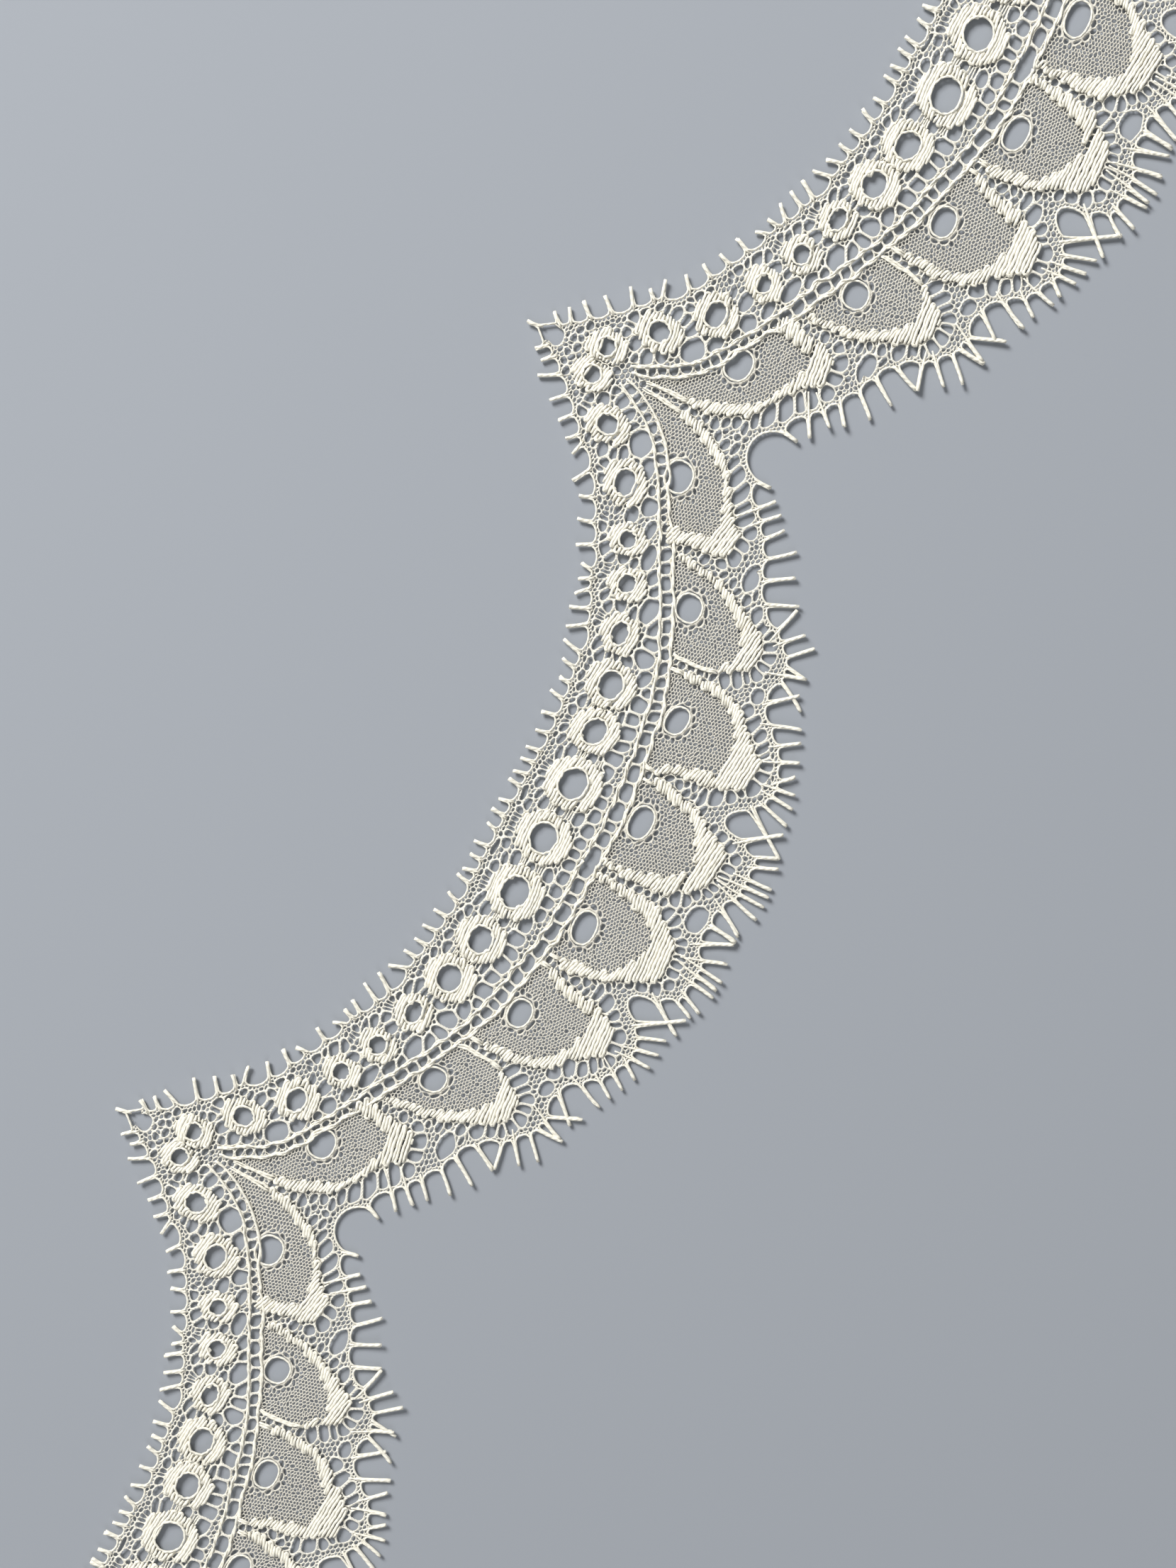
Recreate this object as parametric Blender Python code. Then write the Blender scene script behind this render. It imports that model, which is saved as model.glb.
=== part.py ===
"""A cut length of scalloped lace edging, lying flat on its underside.

The lace is a strip of openwork with a cusped head edge and a scalloped foot edge. Both edges
carry a fringe of clipped thread ends. One scallop runs from cusp to cusp, and each half of it
mirrors the other. Tables give one half, and the strip repeats it.

Tables are in millimetres. x runs along the strip from a cusp. y is the height above the line
of the cusp tips, so it is negative on the lace.
"""

import math

import bpy
import numpy

MM = 0.001

SCALLOP = 105.0  # cusp to cusp
CUT_LEFT = -63.5  # the strip is cut straight across here, in the scallop before the first cusp
CUT_RIGHT = 186.5
THICKNESS = 1.0
GAP = 0.3  # clearance between neighbouring solids
SPINE = 0.6  # width of the strip that carries a fringe's teeth
TOOTH_WIDTH = 0.5
TOOTH_PITCH = 2.5
HEAD_TOOTH = 2.0
FOOT_TOOTH = 3.3
TOOTH_LEAN = 0.5  # 0 points the teeth straight across the strip, 1 square to the edge
HOLE_SIDES = 10
STRIP_MIDDLE = ((CUT_LEFT + CUT_RIGHT) / 2, -27.91)

HEAD_EDGE = (  # x, y
    (0.0, -1.0),
    (2.0, -3.2),
    (5.0, -6.2),
    (8.0, -9.6),
    (12.0, -13.7),
    (17.0, -16.6),
    (23.0, -19.5),
    (29.0, -21.9),
    (38.0, -23.1),
    (46.0, -23.6),
    (52.5, -23.6),
)
FOOT_EDGE = (  # x, y
    (0.0, -29.0),
    (2.0, -31.0),
    (5.0, -33.3),
    (11.0, -37.2),
    (14.0, -39.0),
    (17.5, -43.0),
    (20.0, -44.6),
    (26.0, -46.2),
    (30.0, -49.6),
    (33.0, -50.6),
    (37.0, -51.0),
    (45.0, -52.6),
    (52.5, -51.9),
)
RING_HOLES = (  # x, y, length, height
    (1.8, -8.4, 2.0, 2.0),
    (6.2, -12.9, 2.3, 2.4),
    (10.8, -17.6, 2.6, 2.0),
    (16.4, -20.9, 2.1, 1.9),
    (21.4, -23.4, 2.4, 1.9),
    (26.9, -25.3, 2.8, 2.0),
    (32.4, -27.3, 3.3, 2.6),
    (38.2, -28.4, 3.3, 2.6),
    (45.1, -29.4, 3.8, 3.3),
    (52.5, -29.1, 3.5, 3.2),
)
PETAL_HOLES = (  # x, y, length, height
    (7.2, -22.9, 3.5, 3.0),
    (20.5, -31.1, 3.0, 2.9),
    (32.7, -36.2, 3.4, 2.6),
    (45.4, -38.5, 3.9, 2.6),
)
NET_HOLES = (  # x, y, length, height
    (14.4, -36.5, 2.9, 1.6),
    (39.3, -48.3, 3.6, 3.8),
    (52.5, -49.9, 3.0, 2.4),
)


def from_cusp(x):
    """Distance from x to the nearest cusp, which is where the tables are read."""
    return abs((x + SCALLOP / 2) % SCALLOP - SCALLOP / 2)


def edge_height(edge, x):
    """Height of a scalloped edge at x, on a smooth curve through the edge's table."""
    xs, ys = numpy.array(edge).T
    slopes = numpy.gradient(ys, xs)
    slopes[-1] = 0.0
    along = from_cusp(x)
    row = min(int(numpy.searchsorted(xs, along, side="right")) - 1, len(xs) - 2)
    span = xs[row + 1] - xs[row]
    t = (along - xs[row]) / span
    start = ys[row] * (1 + 2 * t) * (1 - t) ** 2 + slopes[row] * span * t * (1 - t) ** 2
    end = ys[row + 1] * t * t * (3 - 2 * t) - slopes[row + 1] * span * t * t * (1 - t)
    return float(start + end)


def edge_slope(edge, x):
    """Rise of the edge per unit of length at x, never read across a cusp."""
    reach = 0.2
    along = max(from_cusp(x), reach)
    rise = (edge_height(edge, along + reach) - edge_height(edge, along - reach)) / (2 * reach)
    return rise if x % SCALLOP < SCALLOP / 2 else -rise


def inset_height(edge, x, inset, outward):
    """Height of the line that runs the inset's width inside the edge."""
    return edge_height(edge, x) - outward * inset * math.hypot(1.0, edge_slope(edge, x))


def half_scallop_teeth(edge):
    """Places of the teeth between a cusp and the middle of a scallop, spread evenly along the edge."""
    xs = numpy.linspace(0.0, SCALLOP / 2, 200)
    ys = [edge_height(edge, x) for x in xs]
    lengths = numpy.concatenate([[0.0], numpy.cumsum(numpy.hypot(numpy.diff(xs), numpy.diff(ys)))])
    count = round(lengths[-1] / TOOTH_PITCH)
    return numpy.interp((numpy.arange(count) + 0.5) * lengths[-1] / count, lengths, xs)


def stations(edge):
    """The edge's corner points along the strip: (x, carries a tooth), from cut to cut."""
    teeth = half_scallop_teeth(edge)
    places = [(CUT_LEFT, False), (CUT_RIGHT, False)]
    for scallop in range(-1, 3):
        cusp = scallop * SCALLOP
        places.append((cusp, False))
        places += [(cusp + side * x, True) for x in teeth for side in (-1, 1)]
    inside = [(x, tooth) for x, tooth in places if CUT_LEFT + 1 < x < CUT_RIGHT - 1]
    return sorted(places[:2] + inside)


def tooth_outline(edge, x, length, outward):
    """The four corners of one tooth, from left to right."""
    slope = edge_slope(edge, x)
    tangent = numpy.array([1.0, slope]) / math.hypot(1.0, slope)
    normal = outward * numpy.array([-tangent[1], tangent[0]])
    across = numpy.array([0.0, outward])
    lean = normal * TOOTH_LEAN + across * (1 - TOOTH_LEAN)
    reach = lean / numpy.linalg.norm(lean) * length
    root = numpy.array([x, edge_height(edge, x)])
    side = tangent * TOOTH_WIDTH / 2
    return [root - side, root - side + reach, root + side + reach, root + side]


def fringe_outline(edge, length, outward):
    """Outline of one fringe: its toothed outer line, then its plain inner line back."""
    outer = []
    inner = []
    for x, tooth in stations(edge):
        if tooth:
            outer += tooth_outline(edge, x, length, outward)
        else:
            outer.append((x, edge_height(edge, x)))
        inner.append((x, inset_height(edge, x, SPINE, outward)))
    return outer + inner[::-1]


def band_outline():
    """Outline of the strip between the two fringes."""
    inset = SPINE + GAP
    head = [(x, inset_height(HEAD_EDGE, x, inset, 1)) for x, _ in stations(HEAD_EDGE)]
    foot = [(x, inset_height(FOOT_EDGE, x, inset, -1)) for x, _ in stations(FOOT_EDGE)]
    return head + foot[::-1]


def hole_outline(x, y, length, height):
    """An oval hole."""
    turns = [2 * math.pi * side / HOLE_SIDES for side in range(HOLE_SIDES)]
    return [(x + math.cos(a) * length / 2, y + math.sin(a) * height / 2) for a in turns]


def hole_outlines(table):
    """The table's holes on both halves of every scallop, where they clear the cut ends."""
    outlines = []
    for scallop in range(-1, 3):
        for x, y, length, height in table:
            for side in (-1, 1) if x < SCALLOP / 2 else (1,):
                middle = scallop * SCALLOP + side * x
                if CUT_LEFT + length < middle < CUT_RIGHT - length:
                    outlines.append(hole_outline(middle, y, length, height))
    return outlines


def cotton(name):
    """Undyed cream cotton."""
    material = bpy.data.materials.new(name)
    material.use_nodes = True
    shader = material.node_tree.nodes["Principled BSDF"]
    shader.inputs["Base Color"].default_value = (0.80, 0.74, 0.60, 1.0)
    shader.inputs["Roughness"].default_value = 0.9
    shader.inputs["Metallic"].default_value = 0.0
    return material


def add_plate(collection, name, outlines):
    """A flat plate of the lace's thickness, filled between its outer outline and its holes."""
    curve = bpy.data.curves.new(name, "CURVE")
    curve.dimensions = "2D"
    curve.fill_mode = "BOTH"
    curve.extrude = THICKNESS / 2 * MM
    for outline in outlines:
        spline = curve.splines.new("POLY")
        spline.points.add(len(outline) - 1)
        spline.use_cyclic_u = True
        for point, (x, y) in zip(spline.points, outline):
            point.co = ((x - STRIP_MIDDLE[0]) * MM, (y - STRIP_MIDDLE[1]) * MM, 0.0, 1.0)
    curve.materials.append(cotton(name))
    plate = bpy.data.objects.new(name, curve)
    plate.location.z = THICKNESS / 2 * MM
    collection.objects.link(plate)


def main():
    """Clears the scene and builds the band and its two fringes."""
    for thing in list(bpy.data.objects):
        bpy.data.objects.remove(thing)
    lace = bpy.data.collections.new("lace_edging")
    bpy.context.scene.collection.children.link(lace)
    holes = hole_outlines(RING_HOLES) + hole_outlines(PETAL_HOLES) + hole_outlines(NET_HOLES)
    add_plate(lace, "lace_band", [band_outline()] + holes)
    add_plate(lace, "head_fringe", [fringe_outline(HEAD_EDGE, HEAD_TOOTH, 1)])
    add_plate(lace, "foot_fringe", [fringe_outline(FOOT_EDGE, FOOT_TOOTH, -1)])


main()
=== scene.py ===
"""Cream cotton lace edging, lying flat on a pale table.

The edging is a strip of openwork with a cusped head edge and a scalloped foot edge. One half
scallop is charted in tables, in millimetres. x runs along the strip from a cusp, y is the height
above the line of the cusp tips. The chart is mirrored and repeated, then each copy wanders a
little, as thread does.
"""

import logging
import math
from dataclasses import dataclass, field
from enum import Enum
from itertools import groupby

import bpy
import numpy as np
from mathutils import Matrix, Vector
from mathutils.geometry import delaunay_2d_cdt
from mathutils.kdtree import KDTree


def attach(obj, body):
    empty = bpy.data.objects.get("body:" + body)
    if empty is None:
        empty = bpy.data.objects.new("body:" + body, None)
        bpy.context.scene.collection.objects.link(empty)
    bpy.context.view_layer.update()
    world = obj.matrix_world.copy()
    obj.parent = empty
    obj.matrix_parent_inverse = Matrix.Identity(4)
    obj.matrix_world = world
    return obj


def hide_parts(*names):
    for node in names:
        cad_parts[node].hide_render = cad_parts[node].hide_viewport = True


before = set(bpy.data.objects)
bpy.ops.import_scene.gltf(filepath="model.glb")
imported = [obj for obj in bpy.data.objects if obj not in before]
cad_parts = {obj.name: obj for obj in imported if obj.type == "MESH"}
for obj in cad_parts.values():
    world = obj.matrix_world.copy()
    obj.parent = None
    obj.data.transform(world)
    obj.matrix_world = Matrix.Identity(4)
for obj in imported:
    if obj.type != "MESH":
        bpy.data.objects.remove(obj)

log = logging.getLogger("lace")

MM = 0.001
SCALLOP = 105.0
HALF = SCALLOP / 2
CUT_LEFT, CUT_RIGHT = -63.5, 186.5
STRIP_MIDDLE = np.array([61.5, -27.91])

NET_LIFT = 0.32  # height of the middle of each layer of thread above the table
HATCH_LIFT = 0.50
CORD_LIFT = 0.46

UPPER_CORD = (  # x, y
    (1.2, -11.9), (2.3, -14.1), (3.9, -16.8), (5.8, -18.9), (8.0, -20.4), (10.0, -21.7),
    (12.6, -23.1), (15.5, -24.6), (18.0, -25.8), (20.5, -27.2), (23.0, -28.5), (26.0, -30.0),
    (29.0, -31.2), (32.0, -32.1), (35.5, -32.9), (39.0, -33.7), (43.0, -34.3), (48.0, -34.6),
    (52.5, -34.5),
)
LOWER_CORD = (
    (0.5, -12.6), (0.9, -14.2), (2.4, -17.0), (4.5, -19.6), (7.0, -21.5), (9.5, -22.7),
    (12.0, -24.2), (14.5, -26.0), (17.0, -27.1), (20.0, -28.7), (23.0, -30.2), (26.0, -31.5),
    (29.0, -32.8), (32.0, -33.9), (36.0, -34.8), (40.0, -35.6), (44.0, -36.3), (48.0, -36.5),
    (52.5, -36.5),
)
# The places of the rings and ovals came out of a fit, not a chart. Seven rings were then moved.
# Their lengths and heights were charted.
RINGS = (  # x, y, and the length and height of the hole
    (1.8, -8.4, 2.0, 2.0), (6.2, -12.9, 2.25, 2.4), (10.9, -17.7, 2.9, 2.2),
    (16.5, -20.9, 2.0, 1.85), (21.4, -23.3, 2.1, 1.9), (26.9, -25.2, 2.6, 1.8),
    (32.5, -27.0, 3.2, 2.7), (38.3, -28.1, 3.2, 2.7), (45.2, -29.1, 3.8, 3.3),
    (52.5, -29.1, 3.5, 3.2),
)
OVALS = (  # x, y, length, height
    (7.2, -22.9, 3.5, 3.0), (20.5, -31.1, 3.0, 2.9), (32.7, -36.2, 3.4, 2.6),
    (45.4, -38.5, 3.9, 2.6),
)
# Each petal from the top down: y, then the rim's outer and inner line on the left, and its
# inner and outer line on the right. Where the rim runs right across, both inner values meet.
PETALS = (
    (
        (-14.6, 0.25, 0.7, 1.6, 1.6), (-17.2, 0.25, 0.9, 3.0, 3.0), (-20.0, 0.3, 1.2, 5.4, 5.4),
        (-22.4, 0.5, 2.2, 9.2, 9.2), (-24.0, 1.0, 2.9, 12.4, 12.4), (-25.0, 1.6, 3.3, 12.7, 14.8),
        (-26.3, 2.3, 4.1, 12.5, 14.8), (-27.0, 2.7, 4.7, 12.4, 14.2), (-28.5, 5.1, 7.0, 12.1, 14.0),
        (-29.4, 6.7, 9.4, 11.8, 14.0), (-29.7, 7.2, 10.6, 10.6, 14.0), (-30.4, 7.9, 11.0, 11.0, 13.9),
        (-31.0, 8.9, 11.0, 11.0, 13.8), (-32.5, 9.7, 11.0, 11.0, 12.9),
    ),
    (
        (-27.3, 15.3, 16.3, 17.6, 17.6), (-29.4, 15.4, 16.5, 21.6, 21.6), (-31.2, 15.6, 16.7, 25.3, 25.3),
        (-32.2, 15.8, 17.0, 25.6, 26.3), (-33.5, 16.0, 17.4, 25.5, 26.2), (-36.0, 17.0, 18.8, 25.3, 26.0),
        (-37.4, 17.6, 19.9, 24.8, 25.6), (-38.4, 18.1, 21.2, 23.2, 25.0), (-39.0, 18.4, 22.0, 22.0, 24.8),
        (-39.4, 18.6, 22.0, 22.0, 24.1), (-40.2, 19.2, 22.0, 22.0, 23.8), (-41.2, 20.2, 22.0, 22.0, 23.0),
    ),
    (
        (-32.4, 27.0, 27.8, 28.3, 28.3), (-33.6, 26.8, 27.6, 31.0, 31.0), (-35.2, 26.7, 27.8, 37.6, 37.6),
        (-35.7, 26.7, 27.8, 39.0, 39.8), (-37.0, 26.6, 27.9, 38.9, 39.7), (-37.6, 26.6, 28.0, 38.0, 39.6),
        (-38.3, 26.6, 28.1, 37.7, 39.2), (-39.0, 26.8, 28.2, 37.4, 38.7), (-40.0, 27.0, 28.4, 37.1, 38.5),
        (-42.0, 27.7, 29.9, 36.5, 38.3), (-43.5, 28.6, 31.7, 36.2, 38.1), (-44.0, 30.1, 33.5, 33.5, 37.8),
        (-45.0, 30.3, 33.5, 33.5, 37.3), (-46.0, 31.6, 33.5, 33.5, 36.8), (-47.2, 32.4, 33.5, 33.5, 36.2),
    ),
    (
        (-36.3, 40.4, 41.1, 51.1, 52.1), (-37.5, 40.3, 41.1, 51.2, 52.1), (-38.1, 39.7, 41.2, 51.2, 52.1),
        (-39.5, 39.7, 41.5, 51.0, 52.1), (-41.0, 40.2, 41.7, 50.6, 52.1), (-43.0, 40.6, 42.0, 50.0, 52.1),
        (-44.0, 40.9, 43.0, 49.6, 52.0), (-45.0, 41.5, 44.3, 49.1, 51.9), (-45.9, 42.1, 45.8, 48.3, 51.2),
        (-46.2, 42.3, 47.0, 47.0, 50.7), (-47.6, 42.9, 47.0, 47.0, 50.0), (-49.1, 43.6, 46.6, 46.6, 48.5),
    ),
)
# Openings of the ground: x, y, length, height and, where one lies aslant, its turn in degrees.
# The snug ones come out too small as charted, so eased() widens them.
SNUG_HEAD_OPENINGS = (
    (0.0, -5.5, 0.7, 0.7), (2.1, -4.7, 0.35, 0.7), (3.0, -5.5, 0.9, 0.6, 30), (0.0, -10.7, 0.5, 0.6),
    (3.8, -11.1, 1.1, 1.0), (2.3, -11.9, 0.7, 0.8), (3.1, -13.1, 1.3, 1.1), (4.0, -14.5, 1.3, 1.0, -20),
    (5.4, -9.5, 0.3, 0.9), (6.3, -9.5, 0.9, 0.9), (7.4, -10.3, 1.0, 0.6, -25), (8.7, -11.6, 0.9, 0.4, -20),
    (8.9, -12.6, 0.9, 0.4, -20), (11.9, -15.0, 0.9, 0.8), (12.9, -15.9, 0.9, 0.5, -25),
    (8.8, -15.1, 1.2, 0.6), (8.2, -16.2, 1.2, 0.9), (8.3, -17.9, 0.5, 0.6), (8.2, -19.3, 2.0, 1.1, -15),
    (10.2, -20.9, 1.1, 0.5, -25),
)
HEAD_OPENINGS = (
    (0.9, -4.6, 0.5, 0.7), (1.2, -5.4, 0.6, 0.6), (3.9, -8.6, 0.6, 0.6), (4.9, -15.6, 0.8, 0.8),
    (4.4, -9.6, 1.0, 0.8), (9.0, -13.7, 1.4, 1.1, -10), (10.2, -14.6, 0.8, 0.9),
    (11.05, -14.4, 0.35, 0.9), (6.2, -17.4, 2.7, 2.3), (13.75, -20.0, 2.0, 1.15, -8),
    (11.9, -21.5, 1.8, 1.5), (14.15, -22.85, 1.9, 0.9, -12), (14.0, -18.3, 1.3, 0.4, 18),
    (16.5, -17.6, 0.9, 0.95), (15.5, -17.3, 0.3, 0.8), (15.0, -17.3, 0.25, 0.7),
    (17.6, -18.2, 0.7, 0.6, 10), (18.5, -18.95, 1.5, 1.1, -12), (19.4, -20.0, 1.1, 1.0),
    (18.7, -21.3, 0.85, 1.2), (18.9, -23.0, 0.8, 0.8), (17.4, -24.15, 2.9, 1.3, -12),
    (19.5, -25.75, 1.6, 1.1, -12), (20.9, -26.7, 1.3, 0.85, -12), (20.3, -20.25, 0.25, 0.7, -15),
    (20.75, -20.3, 0.25, 0.75, -8), (21.2, -20.3, 0.25, 0.75), (21.7, -20.25, 0.6, 0.75),
    (22.6, -20.95, 1.4, 0.65, 10), (23.75, -21.55, 1.35, 0.9), (24.85, -22.55, 1.2, 0.95),
    (23.95, -23.7, 1.2, 1.1), (24.25, -25.6, 1.4, 0.7, -18), (23.0, -27.1, 2.7, 1.8, 5),
    (24.65, -28.5, 1.7, 1.2, 10), (26.25, -29.0, 1.15, 1.8), (27.95, -29.05, 1.6, 2.2),
    (25.65, -22.3, 0.25, 0.85, 12), (26.05, -22.3, 0.25, 0.85, 8), (26.45, -22.3, 0.25, 0.8),
    (27.0, -22.3, 0.65, 0.85), (27.75, -22.9, 0.95, 0.65, -10), (29.1, -23.35, 1.7, 0.8, 10),
    (30.0, -24.3, 1.4, 0.8, -12), (29.6, -25.1, 0.9, 0.55), (29.4, -26.1, 0.7, 0.5),
    (29.4, -27.35, 1.35, 1.4), (30.0, -30.2, 1.8, 1.2, 12), (31.5, -31.2, 1.0, 1.0, 10),
    (33.0, -31.2, 1.7, 1.7), (34.95, -31.4, 1.4, 1.4), (36.85, -31.6, 1.7, 1.85, -8),
    (38.55, -31.95, 1.1, 1.7, -18), (40.3, -31.95, 1.35, 2.0), (42.35, -32.0, 1.9, 1.6),
    (31.3, -23.6, 0.35, 0.6), (31.9, -23.6, 0.35, 0.6), (33.1, -23.5, 0.95, 0.6, 8),
    (34.25, -23.95, 1.15, 0.6, 15), (35.8, -22.85, 2.0, 0.7, -16), (35.7, -24.95, 1.35, 0.8, -8),
    (35.4, -25.85, 0.6, 0.75), (35.2, -27.95, 0.7, 0.5), (35.6, -30.1, 1.6, 0.7, -8),
    (37.05, -24.5, 1.3, 0.7, -12), (38.15, -24.5, 0.3, 0.75, 5), (38.6, -24.5, 0.3, 0.75, -8),
    (39.45, -24.6, 1.1, 0.7, 8), (40.8, -25.05, 1.3, 0.55, 14), (41.1, -23.5, 1.8, 0.55, -8),
    (42.6, -25.75, 1.8, 0.6, -15), (41.85, -27.0, 1.8, 1.2), (41.85, -29.5, 1.9, 1.4, -10),
    (44.0, -25.15, 0.35, 0.65, 10), (44.5, -25.15, 0.3, 0.7, 6), (44.95, -25.15, 0.35, 0.7),
    (45.65, -25.25, 0.7, 0.65, 5), (46.75, -25.4, 1.1, 0.85), (44.15, -33.1, 1.2, 1.1),
    (45.85, -33.25, 1.1, 1.3), (47.5, -33.45, 1.5, 1.15), (48.2, -26.1, 1.2, 0.65, 10),
    (48.9, -24.4, 2.1, 0.55), (48.8, -27.3, 1.35, 1.25), (48.8, -29.4, 0.8, 1.3), (48.8, -31.7, 1.3, 1.2),
    (49.9, -25.45, 1.1, 0.7), (51.0, -25.1, 0.8, 0.75), (51.65, -25.0, 0.3, 0.85), (52.1, -25.0, 0.3, 0.85),
    (52.5, -24.2, 0.5, 0.5), (49.4, -33.4, 1.6, 1.1), (51.1, -33.35, 1.3, 1.15), (52.5, -33.3, 1.0, 1.2),
)
SLITS = (  # bundles of thin threads between the large rings: x, top, bottom and length
    (35.4, -26.15, -26.6, 0.7), (35.4, -27.5, -28.0, 0.7), (35.4, -28.9, -29.2, 0.9),
    (41.8, -28.0, -28.75, 1.1), (42.0, -30.5, -31.1, 1.1), (48.8, -28.05, -28.6, 0.9),
    (48.8, -30.2, -30.85, 0.9),
)
CUSP_DROP = (  # places spread inside the drop at each cusp's tip
    (0.0, -0.75), (-0.13, -1.15), (0.13, -1.15), (-0.3, -1.55), (0.3, -1.55), (-0.5, -1.95),
    (0.5, -1.95), (-0.68, -2.35), (0.68, -2.35), (-0.78, -2.8), (0.78, -2.8), (-0.6, -3.2),
    (0.6, -3.2), (-0.2, -3.45), (0.2, -3.45),
)
SNUG_FOOT_OPENINGS = (
    (0.0, -14.4, 0.3, 0.5), (0.0, -16.0, 0.3, 0.4), (0.0, -19.9, 0.35, 0.5), (0.0, -21.2, 0.4, 0.5),
    (0.0, -22.5, 0.5, 0.5), (0.0, -23.8, 0.6, 0.7), (0.8, -24.8, 0.6, 0.5), (0.0, -25.3, 0.5, 0.4),
    (1.3, -26.0, 1.1, 0.6), (0.0, -26.7, 0.5, 0.5), (1.3, -27.0, 1.0, 0.5), (52.5, -37.4, 0.4, 0.6),
    (52.5, -38.6, 0.3, 0.5), (52.5, -39.6, 0.3, 0.6), (52.5, -40.8, 0.3, 0.5), (52.5, -42.0, 0.4, 0.6),
    (52.5, -43.2, 0.4, 0.6), (52.5, -44.4, 0.5, 0.6), (52.5, -45.5, 0.6, 0.7),
)
FOOT_OPENINGS = (
    (2.6, -27.7, 1.4, 0.65), (3.9, -28.8, 2.3, 1.25), (5.5, -30.1, 2.7, 1.5, 12),
    (6.8, -31.2, 2.0, 1.0, 31), (8.0, -32.15, 2.4, 1.25, 33), (9.3, -33.5, 1.5, 1.3),
    (11.2, -33.4, 1.2, 1.45, 8), (12.9, -33.15, 1.9, 1.55, -15), (14.25, -32.2, 1.1, 1.2),
    (14.7, -26.9, 0.8, 0.5), (14.7, -27.8, 0.5, 0.5), (14.7, -28.7, 0.5, 0.4), (14.65, -30.2, 1.0, 0.8),
    (15.1, -33.1, 0.7, 0.75), (15.5, -34.4, 0.75, 0.6), (13.8, -36.15, 3.0, 1.5, 4),
    (16.2, -35.4, 0.65, 0.55), (16.5, -36.7, 0.95, 0.8), (15.3, -37.55, 1.1, 0.55, -10),
    (17.3, -38.65, 1.7, 1.2, -10), (18.0, -40.0, 1.7, 1.15, 12), (18.6, -41.15, 1.3, 0.85, 25),
    (19.65, -41.8, 1.15, 1.3, -25), (21.1, -42.4, 1.3, 1.3), (22.35, -42.35, 0.9, 1.3),
    (23.55, -42.0, 0.95, 1.45, 12), (26.4, -33.4, 0.4, 0.5), (26.35, -34.5, 0.4, 0.5),
    (26.2, -35.8, 0.7, 0.85), (26.1, -37.5, 0.8, 0.5), (25.7, -38.75, 1.8, 1.05, -38),
    (24.9, -40.1, 2.3, 0.95, -42), (24.25, -41.0, 1.7, 0.6, -40), (25.7, -43.45, 1.45, 1.4),
    (27.9, -43.3, 1.25, 1.55), (29.2, -44.6, 2.0, 1.35, 25), (29.8, -46.05, 1.5, 1.25),
    (30.95, -46.95, 1.7, 0.85, 32), (31.5, -47.65, 1.1, 0.4, 38), (32.4, -48.35, 1.2, 1.25),
    (33.75, -48.35, 1.1, 1.35), (35.4, -48.0, 1.4, 1.4, 8), (36.7, -47.0, 0.6, 1.3, 22),
    (37.5, -46.3, 1.2, 1.15), (40.1, -36.4, 0.4, 0.5), (39.2, -38.9, 0.7, 0.7), (39.3, -40.2, 0.6, 1.0, 20),
    (38.95, -41.2, 0.5, 0.35), (39.6, -41.65, 0.7, 0.6), (38.8, -42.15, 0.8, 0.5), (39.6, -42.5, 0.5, 0.35),
    (39.2, -43.45, 1.9, 0.75, -10), (40.4, -44.25, 0.7, 0.6), (38.45, -44.8, 2.1, 1.5),
    (41.9, -46.35, 0.85, 0.8), (42.3, -47.65, 1.0, 1.4, -15), (42.9, -49.2, 1.3, 1.2),
    (43.95, -50.4, 1.0, 1.1, 25), (45.4, -50.25, 0.85, 1.35), (46.5, -50.25, 0.85, 1.35),
    (47.45, -50.15, 0.5, 1.3), (48.25, -49.8, 0.65, 1.1), (49.15, -49.5, 0.5, 1.2, 18),
    (49.95, -48.4, 0.85, 1.2, 20), (51.55, -46.45, 1.5, 1.1, -22), (51.1, -47.75, 1.3, 0.9, -12),
    (52.5, -49.9, 2.9, 2.2),
)
# Thread ends of the fringes: the root's x and y, then how far the tip lies from it.
HEAD_ENDS = (
    (1.5, -2.2, 0.9, 1.2), (2.5, -3.3, 0.8, 0.9), (3.9, -4.9, 0.8, 1.6), (5.7, -6.8, 1.4, 1.3),
    (7.5, -8.6, 1.3, 1.0), (9.2, -10.3, 0.9, 0.8), (9.9, -11.1, 1.6, 0.4), (12.1, -13.3, 1.3, 0.9),
    (14.5, -14.8, 0.8, 1.3), (16.6, -16.0, 0.4, 1.3), (19.0, -17.2, 0.6, 1.3),
    (21.6, -18.4, -0.4, 1.1), (22.8, -19.0, 0.3, 1.1), (24.0, -19.5, 1.1, 1.4),
    (26.2, -20.4, 1.0, 1.7), (27.8, -21.1, 1.3, 1.8), (31.0, -21.8, -0.4, 1.9),
    (32.8, -22.0, 0.1, 1.4), (34.6, -22.3, 0.3, 1.1), (36.6, -22.6, -0.2, 1.4),
    (38.7, -22.8, 0.3, 1.3), (41.0, -23.0, 0.4, 1.2), (43.6, -23.2, 0.1, 1.4),
    (45.1, -23.3, 0.0, 1.4), (46.7, -23.3, 0.1, 1.3), (48.3, -23.3, 0.0, 1.4),
    (50.6, -23.3, 0.2, 1.2), (52.4, -23.3, -0.1, 1.3),
)
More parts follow.
